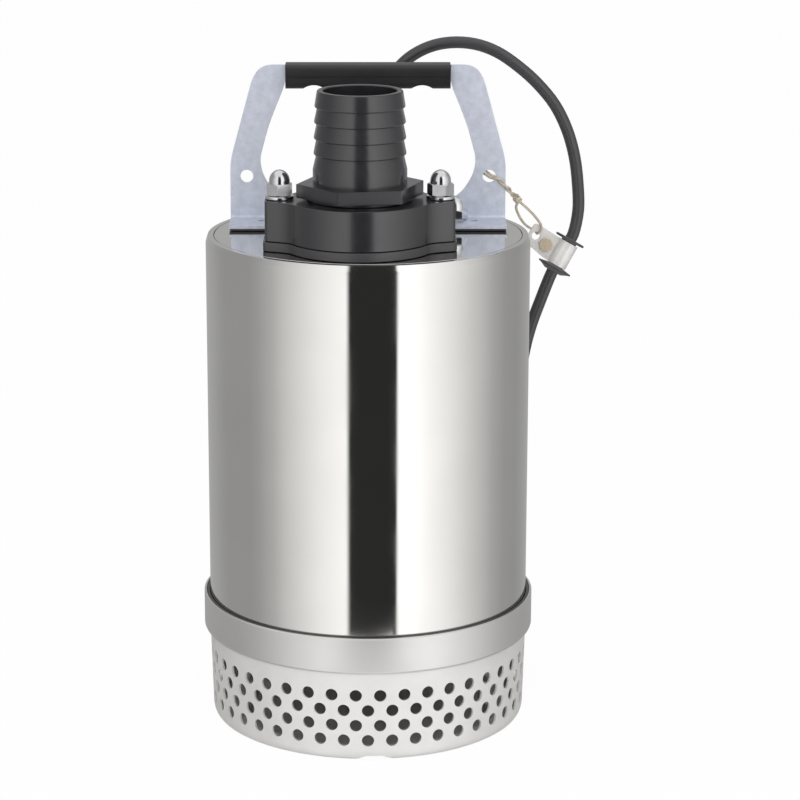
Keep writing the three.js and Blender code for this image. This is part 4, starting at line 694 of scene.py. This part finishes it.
# %% The bent plate
section = [(FOOT_FRONT, FOOT_TOP - PLATE_THICK), *arc(BEND, BEND_R + PLATE_THICK, -90, 0, 8),
           (PLATE_FRONT + PLATE_THICK, HANDLE_TOP), (PLATE_FRONT, HANDLE_TOP), *arc(BEND, BEND_R, 0, -90, 5),
           (FOOT_FRONT, FOOT_TOP)]
handle = placed(plate("handle", section, -HANDLE_HALF, HANDLE_HALF), ALONG_X)
kept_inside(handle, placed(plate("front", softened(upright, 6), -40, 10), UPRIGHT))
cut(handle, placed(plate("window", softened(window, 7), -40, -20), UPRIGHT),
    *(placed(rod("hole", LIFT_HOLE_R, -40, -20, 32), UPRIGHT, (x, 0, z)) for x, z in LIFT_HOLES),
    *(placed(rod("hole", STUD_HOLE_R, 280, 295, 32), at=(side * STUD_X, STUD_Y, 0)) for side in (-1, 1)),
    *(placed(rod("hole", PIN_HOLE_R, 280, 295, 24), at=(side * PIN_X, STUD_Y, 0)) for side in (-1, 1)))
eased(handle, 0.3, 2, 40)
hand_in(handle, "galvanised_steel", "handle_plate")

# %% The black strip under its foot
foot_strip_x, foot_strip_front, foot_strip_back = HANDLE_HALF - 0.6, FOOT_FRONT + 0.4, BEND[0] + 1
foot_strip = plate("black_foot_strip", [(-foot_strip_x, foot_strip_front), (foot_strip_x, foot_strip_front), (foot_strip_x, foot_strip_back), (-foot_strip_x, foot_strip_back)],
            FOOT_STRIP_LOW, FOOT_STRIP_TOP)
cut(foot_strip, *(placed(rod("hole", STUD_HOLE_R, 280, 290, 32), at=(side * STUD_X, STUD_Y, 0))
           for side in (-1, 1)))
eased(foot_strip, 0.2, 2, 40)
hand_in(foot_strip, "rubber")

# %% [markdown]
# ## The grip
# A soft-looking black grip is moulded round the handle's bar. Its front is flat with a faint moulding line
# at mid-height, its underside has four hollows for the fingers, and its top edge shows a thin line of
# light. The rounded section is extruded across, the hollows are cut by four drums, and the slot takes the
# bar. The edges are eased last, after every cut, because a cut through an eased edge leaves gaps in the
# mesh.

# %% The grip
GRIP_LOW, GRIP_TOP, GRIP_FRONT, GRIP_BACK = 363.9, 377.7, 22, 40
GRIP_MIDDLE = (GRIP_LOW + GRIP_TOP) / 2
SLOT_Y, SLOT_Z, SLOT_HALF = PLATE_FRONT + PLATE_THICK / 2, BAR_HALF + 0.3, 1.2
GROOVE_R, GROOVE_IN = 0.45, 0.07
HOLLOW_WIDE, HOLLOW_HIGH, HOLLOW_PITCH = 12.7, 2.4, 20.6
corners = [(GRIP_FRONT, GRIP_LOW), (GRIP_BACK, GRIP_LOW), (GRIP_BACK, GRIP_TOP), (GRIP_FRONT, GRIP_TOP)]
grip = placed(plate("grip", softened(corners, 4.2, 6), -GRIP_HALF, GRIP_HALF), ALONG_X)
drum_r = (HOLLOW_WIDE ** 2 / 4 + HOLLOW_HIGH ** 2) / (2 * HOLLOW_HIGH)
drums = [placed(rod("drum", drum_r, -60, 0, 96), UPRIGHT,
                ((i - 1.5) * HOLLOW_PITCH, 0, GRIP_LOW + HOLLOW_HIGH - drum_r)) for i in range(4)]
cut(grip, *drums)
slot_outline = [(SLOT_Y - SLOT_HALF, BAR_Z - SLOT_Z), (SLOT_Y + SLOT_HALF, BAR_Z - SLOT_Z),
                (SLOT_Y + SLOT_HALF, BAR_Z + SLOT_Z), (SLOT_Y - SLOT_HALF, BAR_Z + SLOT_Z)]
cut(grip, placed(plate("slot", slot_outline, -60, 60), ALONG_X))
for y in (GRIP_FRONT + GROOVE_IN, GRIP_BACK - GROOVE_IN):
    groove = arc((y, GRIP_MIDDLE), GROOVE_R, 0, 315, 7)
    cut(grip, placed(plate("groove", groove, -60, 60), ALONG_X))
eased(grip, 0.9, 3, 25)
hand_in(grip, "grip_plastic", "handle_grip")

# %% [markdown]
# ## The cable gland
# Behind the hose tail the cable leaves the deck through a steel gland. Turning down its nut squeezes a seal
# onto the cable, and a ribbed rubber boot above it stops the cable from kinking. Body and nut are chamfered
# hexagons, and the boot is turned with its ribs.

# %% Gland body, nut and boot
GASKET_FOOT = 285.3
gland_body = plate("gland_body_hex", hexagon(22), 0, 8)
chamfered(gland_body, [(0, 0), (11.8, 0), (12.7, 0.8), (12.7, 7.2), (11.6, 8), (0, 8)])
joined(gland_body, rod("spigot", 7.5, -8, 1))
cut(gland_body, rod("bore", CABLE_HOLE_R, -9, 9))
eased(gland_body, 0.25, 2, 35)
hand_in(placed(gland_body, at=(*GLAND, GASKET_FOOT)), "bright_steel", "gland_body")

gland_nut = plate("gland_nut_hex", hexagon(20, 30), 8.3, 16.3)
chamfered(gland_nut, [(0, 8.3), (10.8, 8.3), (11.5, 9), (11.5, 15.4), (10.3, 16.3), (0, 16.3)])
cone = [(0, 15.3), (9, 15.3), (9, 17.3), (8.7, 17.9), (7.5, 20.1), (7.1, 20.3), (0, 20.3)]
joined(gland_nut, turned("cone", cone, 64))
cut(gland_nut, rod("bore", CABLE_HOLE_R, 7, 24))
eased(gland_nut, 0.25, 2, 35)
hand_in(placed(gland_nut, at=(*GLAND, GASKET_FOOT)), "bright_steel", "gland_nut")

boot = [(4, 20.6), (6.1, 20.6), (6.4, 20.9), (6.4, 24.2)]
for i in range(5):
    z = 25 + 4.6 * i
    r = 6.3 - 0.24 * i
    boot += [(r - 0.75, z), (r - 0.75, z + 1.2), (r, z + 1.8), (r, z + 3.6), (r - 0.3, z + 4.1)]
boot += [(5.0, 50.2), (4.7, 50.6), (4, 50.6)]
hand_in(placed(turned("gland_boot_ribbed", boot, 48), at=(*GLAND, GASKET_FOOT)), "rubber", "gland_boot")

# %% [markdown]
# ## The clip on the cable
# A rubber bobbin sits on the cable, and a bright steel strap goes round it with its two ends side by side,
# held by a small screw. The strap's outer end has an eye for the tether. Both are made straight, with the
# cable along Z and the strap's ends along -X, and are then turned into the cable's direction.

# %% The clip's own axes
CLIP_AT = Vector((114.3, 49.75, 262.7))
along = Vector((9, 2.5, 16)).normalized()
side = (Vector((0, 1, 0)) - along * along.y).normalized()
CLIP_AXES = Matrix((side.cross(along), side, along)).transposed().to_4x4()
BOBBIN_END, LOWER_R, UPPER_R, CORE_R = 10.2, 10.5, 9.2, 4.8
bobbin = turned("bobbin", [
    (4, -BOBBIN_END - 1.5), (CORE_R + 0.4, -BOBBIN_END - 1.5), (LOWER_R - 1.2, 0.4 - BOBBIN_END),
    *arc((LOWER_R - 0.6, 1 - BOBBIN_END), 0.6, -70, 70, 5),
    (LOWER_R - 1.2, 1.6 - BOBBIN_END), (CORE_R, 2.5 - BOBBIN_END),
    (CORE_R, BOBBIN_END - 1.8), (UPPER_R - 0.7, BOBBIN_END - 1.6),
    *arc((UPPER_R - 0.7, BOBBIN_END - 0.9), 0.7, -90, 90, 6), (4, BOBBIN_END - 0.1),
], 64)
hand_in(placed(bobbin, CLIP_AXES, CLIP_AT), "rubber", "clip_bobbin")

# %% The strap
STRAP_IN, STRAP_OUT, LEAF_IN, LEAF_OUT, REACH, STRAP_HALF = 5.1, 6.1, 0.4, 1.4, 23.4, 7.5
SCREW_X, EYE_X, EYE_Z = -11.7, -19, 1.8
start_out = 180 + math.degrees(math.asin(LEAF_OUT / STRAP_OUT))
start_in = 180 + math.degrees(math.asin(LEAF_IN / STRAP_IN))
band = [(-REACH, -LEAF_OUT), *arc((0, 0), STRAP_OUT, start_out, 720 - start_out, 40), (-REACH, LEAF_OUT),
        (-REACH, LEAF_IN), *arc((0, 0), STRAP_IN, 720 - start_in, start_in, 40), (-REACH, -LEAF_IN)]
tab = [(12, -STRAP_HALF), (12, STRAP_HALF), (-6, STRAP_HALF), (0.4 - REACH, 8.5), (-REACH, 0),
       (3 - REACH, -5), (-8, -STRAP_HALF)]
strap = plate("strap", band, -STRAP_HALF, STRAP_HALF + 1.5)
kept_inside(strap, placed(plate("side", softened(tab, 2.5), -20, 20), UPRIGHT))
cut(strap, placed(rod("eye", 2.5, -20, 20, 24), UPRIGHT, (EYE_X, 0, EYE_Z)),
    placed(rod("hole", 2.5, -20, 20, 24), UPRIGHT, (SCREW_X, 0, 0)))
eased(strap, 0.18, 2, 40)
hand_in(placed(strap, CLIP_AXES, CLIP_AT), "bright_steel", "clip_strap", finish="plated_strap")

# %% The screw and its nut
HEAD_LOW, HEAD_TOP = 1.7, 4.7
screw = plate("clip_screw", hexagon(7.2, 12), HEAD_LOW, HEAD_TOP)
chamfered(screw, [(0, HEAD_LOW), (4.3, HEAD_LOW), (4.3, 4.1), (3.5, HEAD_TOP), (0, HEAD_TOP)], 32)
joined(screw, turned("shank", [(0, -5.7), (1.9, -5.7), (2.2, -5.4), (2.2, 2.7), (0, 2.7)], 24))
eased(screw, 0.15, 2, 35)
screw_nut = plate("clip_screw_nut", hexagon(8, 20), -HEAD_TOP, -HEAD_LOW)
chamfered(screw_nut, [(0, -HEAD_TOP), (4, -HEAD_TOP), (4.7, -4), (4.7, -HEAD_LOW), (0, -HEAD_LOW)], 32)
cut(screw_nut, rod("bore", 2.5, -8, 0, 24))
eased(screw_nut, 0.15, 2, 35)
for piece, node in ((screw, "clip_bolt"), (screw_nut, "clip_nut")):
    placed(piece, UPRIGHT, (SCREW_X, 0, 0))
    hand_in(placed(piece, CLIP_AXES, CLIP_AT), "yellow_zinc", node)

# %% [markdown]
# ## The plug
# A moulded two-pin plug lies on the coil. Its body is turned with finger ribs, and its boot tapers onto the
# cable. The two pins have rounded ends.

# %% The plug's body
PLUG_AT = COIL_AT + Vector(TAIL_POINTS[-1]) - Vector((8, 0, 0))
PLUG_R, PLUG_BOOT, PLUG_FACE = 15, 26, 64
profile = [(0, 8.3), (4, 8.3), (4, 0), (5, 0), (5.3, 0.4)]
for i in range(4):
    z, r = 3 + 5.2 * i, 5.6 + 0.75 * i
    profile += [(r - 0.7, z), (r - 0.7, z + 1.4), (r, z + 2), (r + 0.3, z + 4.4)]
profile += [(8, 24.6), (9.5, PLUG_BOOT), (12.6, 28.2), (14.4, 30.2), (PLUG_R, 32.6)]
for i in range(5):
    z = 37 + 3.4 * i
    profile += [(PLUG_R, z), (PLUG_R - 0.7, z + 0.6), (PLUG_R - 0.7, z + 1.4), (PLUG_R, z + 2)]
profile += [(PLUG_R, 61.6), (14.4, 63.2), (13.2, PLUG_FACE), (0, PLUG_FACE)]
plug_body = turned("plug_moulding", profile, 64)
cut(plug_body, *(placed(rod("socket", 2.7, 60, 66, 24), at=(0, y, 0)) for y in (9.5, -9.5)))
hand_in(placed(plug_body, ALONG_X, PLUG_AT), "rubber", "plug_body")

# %% Its pins
pin = turned("pin", [(0, 60.3), (2.4, 60.3), (2.4, 81.6), *arc((1, 81.6), 1.4, 0, 90, 4), (0, 83)], 24)
for node, y in (("plug_pin_left", 9.5), ("plug_pin_right", -9.5)):
    plug_pin = placed(copied(pin, f"{node}_round"), at=(0, y, 0))
    hand_in(placed(plug_pin, ALONG_X, PLUG_AT), "bright_steel", node)
bpy.data.meshes.remove(pin.data)

# %% [markdown]
# ## Finishes: effects that several materials share
# A real surface is never one flat value. Three small node groups give what these finishes need: a cloudy
# mix of two colours, an uneven gloss, and lines drawn along one direction, as from rolling, polishing or
# zinc running off. A fourth gives the height of a fine grain for a bump. All read Object coordinates, so
# they stay on the piece.

# %% A helper for node groups
def new_group(name, inputs, output):
    """An empty node group with named inputs and one output."""
    group = bpy.data.node_groups.new(name, "ShaderNodeTree")
    for label, (kind, value) in inputs.items():
        group.interface.new_socket(name=label, in_out="INPUT", socket_type=kind).default_value = value
    group.interface.new_socket(name=output[0], in_out="OUTPUT", socket_type=output[1])
    return group, group.nodes.new("NodeGroupInput"), group.nodes.new("NodeGroupOutput")


def linked(tree, *pairs):
    for start, end in pairs:
        tree.links.new(start, end)


NOISE_LOW, NOISE_HIGH = 0.3, 0.7  # noise seldom leaves this range


def noise_mask(group, given, stretched=False, detail=3):
    """Noise on Object coordinates at a named size, spread from 0 to 1."""
    place = group.nodes.new("ShaderNodeTexCoord").outputs["Object"]
    if stretched:
        stretch = group.nodes.new("ShaderNodeVectorMath")
        stretch.operation = "MULTIPLY"
        linked(group, (place, stretch.inputs[0]), (given.outputs["Stretch"], stretch.inputs[1]))
        place = stretch.outputs[0]
    scale = group.nodes.new("ShaderNodeMath")
    scale.operation = "DIVIDE"
    scale.inputs[0].default_value = 1
    noise = group.nodes.new("ShaderNodeTexNoise")
    noise.inputs["Detail"].default_value = detail
    spread = group.nodes.new("ShaderNodeMapRange")
    spread.inputs["From Min"].default_value = NOISE_LOW
    spread.inputs["From Max"].default_value = NOISE_HIGH
    linked(group, (given.outputs["Size"], scale.inputs[1]), (scale.outputs[0], noise.inputs["Scale"]),
           (place, noise.inputs["Vector"]), (noise.outputs["Fac"], spread.inputs["Value"]))
    return spread.outputs["Result"]


# %% The four groups
FLOAT, COLOUR, VECTOR = "NodeSocketFloat", "NodeSocketColor", "NodeSocketVector"


def blended(group, mask, low, high, kind="FLOAT"):
    mix = group.nodes.new("ShaderNodeMix")
    mix.data_type = kind
    first = 6 if kind == "RGBA" else 2
    linked(group, (mask, mix.inputs["Factor"]), (low, mix.inputs[first]), (high, mix.inputs[first + 1]))
    return mix.outputs[2 if kind == "RGBA" else 0]


cloudy, given, result = new_group("cloudy colour", {
    "Colour": (COLOUR, (1, 1, 1, 1)), "Second": (COLOUR, (1, 1, 1, 1)), "Size": (FLOAT, 0.02)},
    ("Colour", COLOUR))
tint = blended(cloudy, noise_mask(cloudy, given), given.outputs["Colour"], given.outputs["Second"], "RGBA")
linked(cloudy, (tint, result.inputs[0]))

uneven, given, result = new_group("uneven gloss", {
    "Smooth": (FLOAT, 0.2), "Rough": (FLOAT, 0.3), "Size": (FLOAT, 0.01)}, ("Roughness", FLOAT))
linked(uneven, (blended(uneven, noise_mask(uneven, given), given.outputs["Smooth"], given.outputs["Rough"]),
                result.inputs[0]))

lines, given, result = new_group("drawn lines", {
    "Low": (FLOAT, 0), "High": (FLOAT, 1), "Size": (FLOAT, 0.002), "Stretch": (VECTOR, (1, 1, 0.05))},
    ("Value", FLOAT))
linked(lines, (blended(lines, noise_mask(lines, given, stretched=True), given.outputs["Low"],
                       given.outputs["High"]), result.inputs[0]))

grain, given, result = new_group("fine grain", {"Size": (FLOAT, 0.001)}, ("Height", FLOAT))
linked(grain, (noise_mask(grain, given, detail=2), result.inputs[0]))
print("groups:", len(bpy.data.node_groups))

# %% [markdown]
# ## Finishes: one material to a slot
# Bare steel is a Principled shader with Metallic at or near 1, so its colour is the colour of its
# reflections. Pressed, galvanised and plated steel have a dull skin that scatters light, so their Metallic
# is lower. Beyond that, steels differ in their roughness and in the marks of how they were made. Plastic
# and rubber are dark and not metallic, and differ in gloss and grain.

# %% Material helpers
def tone(red, green, blue):
    """A colour written as on screen, from 0 to 255."""
    def linear(value):
        value /= 255
        return value / 12.92 if value <= 0.04045 else ((value + 0.055) / 1.055) ** 2.4
    return (linear(red), linear(green), linear(blue), 1)


def surface(name, colour, metallic, roughness):
    material = bpy.data.materials.new(name)
    material.use_nodes = True
    principled = material.node_tree.nodes["Principled BSDF"]
    principled.inputs["Base Color"].default_value = colour
    principled.inputs["Metallic"].default_value = metallic
    principled.inputs["Roughness"].default_value = roughness
    return material, principled


def effect(material, group, **values):
    """Place a group in a material with its own values, and give its output."""
    node = material.node_tree.nodes.new("ShaderNodeGroup")
    node.node_tree = group
    for label, value in values.items():
        node.inputs[label].default_value = value
    return node.outputs[0]


def relief(material, principled, height, depth):
    """Bump a surface by a height that varies, in millimetres."""
    bump = material.node_tree.nodes.new("ShaderNodeBump")
    bump.inputs["Strength"].default_value = 1
    bump.inputs["Distance"].default_value = depth * MM
    linked(material.node_tree, (height, bump.inputs["Height"]),
           (bump.outputs["Normal"], principled.inputs["Normal"]))


def metal(name, colour, second, smooth, rough, metallic=1.0, size=0.02, depth=0.0, lines_size=0.0008,
          stretch=(1, 1, 0.02)):
    """Metal with a cloudy tint, an uneven gloss and, if it has a depth, drawn lines."""
    material, principled = surface(name, colour, metallic, smooth)
    linked(material.node_tree,
           (effect(material, cloudy, Colour=colour, Second=second, Size=size),
            principled.inputs["Base Color"]),
           (effect(material, uneven, Smooth=smooth, Rough=rough, Size=size / 2),
            principled.inputs["Roughness"]))
    if depth:
        relief(material, principled, effect(material, lines, Size=lines_size, Stretch=stretch), depth)
    return material


CLOUD_SIZE, GLOSS_SIZE = 0.015, 0.006  # in metres, on moulded pieces


def moulded(name, colour, second, smooth, rough, grain_size, depth, shine=0.5):
    """Plastic, rubber or paint with a fine grain."""
    material, principled = surface(name, colour, 0, smooth)
    principled.inputs["Specular IOR Level"].default_value = shine
    linked(material.node_tree,
           (effect(material, cloudy, Colour=colour, Second=second, Size=CLOUD_SIZE),
            principled.inputs["Base Color"]),
           (effect(material, uneven, Smooth=smooth, Rough=rough, Size=GLOSS_SIZE),
            principled.inputs["Roughness"]))
    relief(material, principled, effect(material, grain, Size=grain_size), depth)
    return material


# %% The materials
ROUND_LINES, UPRIGHT_LINES = (0.02, 0.02, 1), (1, 1, 0.05)
FINISHES = {
    "polished_steel": metal("polished steel", tone(232, 231, 228), tone(227, 226, 223), 0.05, 0.09,
                            size=0.05),
    "satin_steel": metal("satin steel", tone(229, 228, 226), tone(225, 224, 222), 0.36, 0.4,
                         metallic=0.93, size=0.03, depth=0.002, lines_size=0.0006, stretch=ROUND_LINES),
    "pressed_steel": metal("pressed steel", tone(227, 226, 224), tone(220, 219, 217), 0.48, 0.55,
                           metallic=0.4, depth=0.002, lines_size=0.0012, stretch=(1, 1, 0.3)),
    "galvanised_steel": metal("galvanised steel", tone(222, 227, 240), tone(206, 211, 224), 0.46, 0.54,
                              metallic=0.5, size=0.004, depth=0.006, lines_size=0.0009,
                              stretch=UPRIGHT_LINES),
    "bright_steel": metal("bright steel", tone(226, 226, 228), tone(214, 214, 217), 0.1, 0.18, size=0.01),
    "plated_strap": metal("plated strap", tone(226, 224, 221), tone(218, 216, 213), 0.3, 0.36,
                          metallic=0.3, size=0.008, depth=0.002, lines_size=0.0006, stretch=UPRIGHT_LINES),
    "yellow_zinc": metal("yellow zinc", tone(218, 205, 182), tone(206, 190, 164), 0.36, 0.4,
                         metallic=0.6, size=0.004),
    "core_steel": metal("core steel", tone(128, 130, 134), tone(112, 114, 118), 0.3, 0.45, size=0.01,
                        depth=0.01, lines_size=0.0009, stretch=ROUND_LINES),
    "cast_iron": moulded("cast iron", tone(62, 64, 67), tone(50, 52, 55), 0.5, 0.65, 0.0012, 0.04),
    "copper": metal("copper windings", tone(190, 112, 72), tone(160, 88, 54), 0.28, 0.4, size=0.004,
                    depth=0.06, lines_size=0.0011, stretch=(1, 1, 0.2)),
    "ceramic": moulded("ceramic", tone(226, 222, 212), tone(218, 214, 204), 0.2, 0.3, 0.001, 0.002),
    "black_plastic": moulded("black plastic", tone(33, 33, 36), tone(36, 36, 39), 0.2, 0.25, 0.0012, 0.002,
                             shine=1),
    "grip_plastic": moulded("grip plastic", tone(31, 31, 32), tone(35, 35, 36), 0.34, 0.4, 0.0008, 0.006),
    "rubber": moulded("rubber", tone(50, 50, 52), tone(55, 55, 57), 0.34, 0.42, 0.0009, 0.004, shine=0.8),
    "tether_wire": metal("tether wire", tone(212, 202, 186), tone(186, 172, 152), 0.35, 0.45,
                         metallic=0.5, size=0.003, depth=0.015, lines_size=0.002, stretch=(1, 1, 1)),
}

# %% Dress every piece and every CAD node
for piece, slot_name in PIECES.items():
    piece.data.materials.clear()
    piece.data.materials.append(FINISHES[slot_name])
for piece in (cable, tether, bobbin, strap, screw):
    piece.visible_glossy = False  # the polished steel stays free of their thin dark lines
for subpart in frame["record"]["subparts"]:
    node = bpy.data.objects.get(subpart["node"])
    if node and node not in PIECES:
        for material_slot in node.material_slots:
            material_slot.material = FINISHES[subpart["material_slot"]]
print("dressed:", len(PIECES), "new pieces")

# %% [markdown]
# ## The studio
# Polished steel shows the room, so the room is what gives it its look: a large soft light on each side, a
# narrow dark gap between them in front, where the camera stands, and dim walls behind. All of it is painted
# on the world by direction. A soft light in front lifts what isn't a mirror, and a card on the floor is
# there for the ring and the strainer alone. The floor and the background are white for the camera, and the
# floor keeps a faint shadow.

# %% The room, by direction round the pump
world = bpy.data.worlds.new("studio")
bpy.context.scene.world = world
world.use_nodes = True
tree = world.node_tree
tree.nodes.clear()
PEAK = 2  # the ramp below holds shares of this level
ROOM = [(-180, 0.55), (-142, 0.5), (-122, 0.43), (-93, 0.43), (-84, 0.48), (-71, 0.62), (-61, 0.82),
        (-47, 1.05), (-34, 1.27), (-15, 1.5), (-13.2, 0.034), (19.7, 0.034), (21.3, 1.7), (34, 1.65),
        (47, 1.42), (61, 1.2), (76, 0.93), (87, 0.76), (100, 0.56), (114, 0.45), (131, 0.42), (160, 0.5),
        (180, 0.55)]


def maths(operation, first, second=None, value=None):
    node = tree.nodes.new("ShaderNodeMath")
    node.operation = operation
    linked(tree, (first, node.inputs[0]))
    if second is not None:
        linked(tree, (second, node.inputs[1]))
    if value is not None:
        node.inputs[1].default_value = value
    return node.outputs[0]


direction = tree.nodes.new("ShaderNodeSeparateXYZ")
linked(tree, (tree.nodes.new("ShaderNodeTexCoord").outputs["Generated"], direction.inputs[0]))
towards_camera = maths("MULTIPLY", direction.outputs["Y"], value=-1)
round_pump = maths("ARCTAN2", direction.outputs["X"], towards_camera)
share = maths("ADD", maths("DIVIDE", round_pump, value=2 * math.pi), value=0.5)
ramp = tree.nodes.new("ShaderNodeValToRGB")
ramp.color_ramp.interpolation = "LINEAR"
while len(ramp.color_ramp.elements) < len(ROOM):
    ramp.color_ramp.elements.new(0.5)
for element, (angle, level) in zip(ramp.color_ramp.elements, ROOM):
    element.position = (angle + 180) / 360
    element.color = (level / PEAK, level / PEAK, level / PEAK, 1)
linked(tree, (share, ramp.inputs["Fac"]))

# %% The light from above, and white for the camera
TOP_LEVEL, TOP_STARTS, TOP_FULL = 1.15, 0.55, 0.85  # the last two as the upward part of a direction
height = tree.nodes.new("ShaderNodeMapRange")
height.interpolation_type = "SMOOTHSTEP"
height.inputs["From Min"].default_value = TOP_STARTS
height.inputs["From Max"].default_value = TOP_FULL
top = tree.nodes.new("ShaderNodeMix")
top.data_type = "FLOAT"
top.inputs[3].default_value = TOP_LEVEL
room = tree.nodes.new("ShaderNodeBackground")
white = tree.nodes.new("ShaderNodeBackground")
white.inputs["Color"].default_value = (1, 1, 1, 1)
seen = tree.nodes.new("ShaderNodeMixShader")
output = tree.nodes.new("ShaderNodeOutputWorld")
linked(tree, (direction.outputs["Z"], height.inputs["Value"]),
       (height.outputs["Result"], top.inputs["Factor"]),
       (maths("MULTIPLY", ramp.outputs["Color"], value=PEAK), top.inputs[2]),
       (top.outputs[0], room.inputs["Strength"]),
       (tree.nodes.new("ShaderNodeLightPath").outputs["Is Camera Ray"], seen.inputs[0]),
       (room.outputs[0], seen.inputs[1]), (white.outputs[0], seen.inputs[2]),
       (seen.outputs[0], output.inputs[0]))

# %% A soft light in front
# It lifts paint, plastic and zinc to about the tone they are given. Mirrors don't show it, so the dark gap
# stays.
SOFTBOX_AT, SOFTBOX_TILT, SOFTBOX_SIZE, SOFTBOX_WATTS = (0, -2.1, 0.95), 70, 1.6, 24
bpy.ops.object.light_add(type="AREA", location=SOFTBOX_AT, rotation=(math.radians(SOFTBOX_TILT), 0, 0))
softbox = bpy.context.object
softbox.name = "softbox"
softbox.data.size = SOFTBOX_SIZE
softbox.data.energy = SOFTBOX_WATTS
softbox.visible_glossy = False
print("softbox:", SOFTBOX_WATTS, "W")

# %% A white card on the floor
# It lies close in front of the pump and fills the dark gap where the ring and the strainer would mirror it.
# Only mirrors see it, and seen from above its edge shows in the foot of the sleeve too.
CARD_AT, CARD_SIDES, CARD_LEVEL = (0.004, -0.2, 0), (0.15, 0.2, 1), 0.9
bpy.ops.mesh.primitive_plane_add(size=1, location=CARD_AT)
card = bpy.context.object
card.name = "card"
card.scale = CARD_SIDES
card.visible_camera = card.visible_diffuse = card.visible_shadow = False
white_card = bpy.data.materials.new("white card")
white_card.use_nodes = True
white_card.node_tree.nodes.clear()
card_glow = white_card.node_tree.nodes.new("ShaderNodeEmission")
card_glow.inputs["Strength"].default_value = CARD_LEVEL
card_output = white_card.node_tree.nodes.new("ShaderNodeOutputMaterial")
linked(white_card.node_tree, (card_glow.outputs[0], card_output.inputs[0]))
card.data.materials.append(white_card)
print("card:", CARD_SIDES[0], "by", CARD_SIDES[1], "m")

# %% The floor
bpy.ops.object.select_all(action="DESELECT")
FLOOR_SIZE, FLOOR_AT, FLOOR_WHITE = 12, (0, 0, -0.0003), 0.95
bpy.ops.mesh.primitive_plane_add(size=FLOOR_SIZE, location=FLOOR_AT)
floor = bpy.context.object
floor.name = "floor"
floor.visible_glossy = False
paint = bpy.data.materials.new("white floor")
paint.use_nodes = True
floor_tree = paint.node_tree
floor_tree.nodes.clear()
SHADOW_SHARE = 0.04  # how much of the floor's real light and shadow the camera sees
diffuse = floor_tree.nodes.new("ShaderNodeBsdfDiffuse")
diffuse.inputs["Color"].default_value = (FLOOR_WHITE, FLOOR_WHITE, FLOOR_WHITE, 1)
glow = floor_tree.nodes.new("ShaderNodeEmission")
glow.inputs["Strength"].default_value = 1
share_seen = floor_tree.nodes.new("ShaderNodeMath")
share_seen.operation = "MULTIPLY"
share_seen.inputs[1].default_value = 1 - SHADOW_SHARE
both = floor_tree.nodes.new("ShaderNodeMixShader")
floor_output = floor_tree.nodes.new("ShaderNodeOutputMaterial")
linked(floor_tree,
       (floor_tree.nodes.new("ShaderNodeLightPath").outputs["Is Camera Ray"], share_seen.inputs[0]),
       (share_seen.outputs[0], both.inputs[0]), (diffuse.outputs[0], both.inputs[1]),
       (glow.outputs[0], both.inputs[2]), (both.outputs[0], floor_output.inputs[0]))
floor.data.materials.append(paint)
print("floor:", FLOOR_SIZE, "m wide")

# %% View settings and the last measures
bpy.context.scene.view_settings.view_transform = "Standard"
bpy.context.view_layer.update()
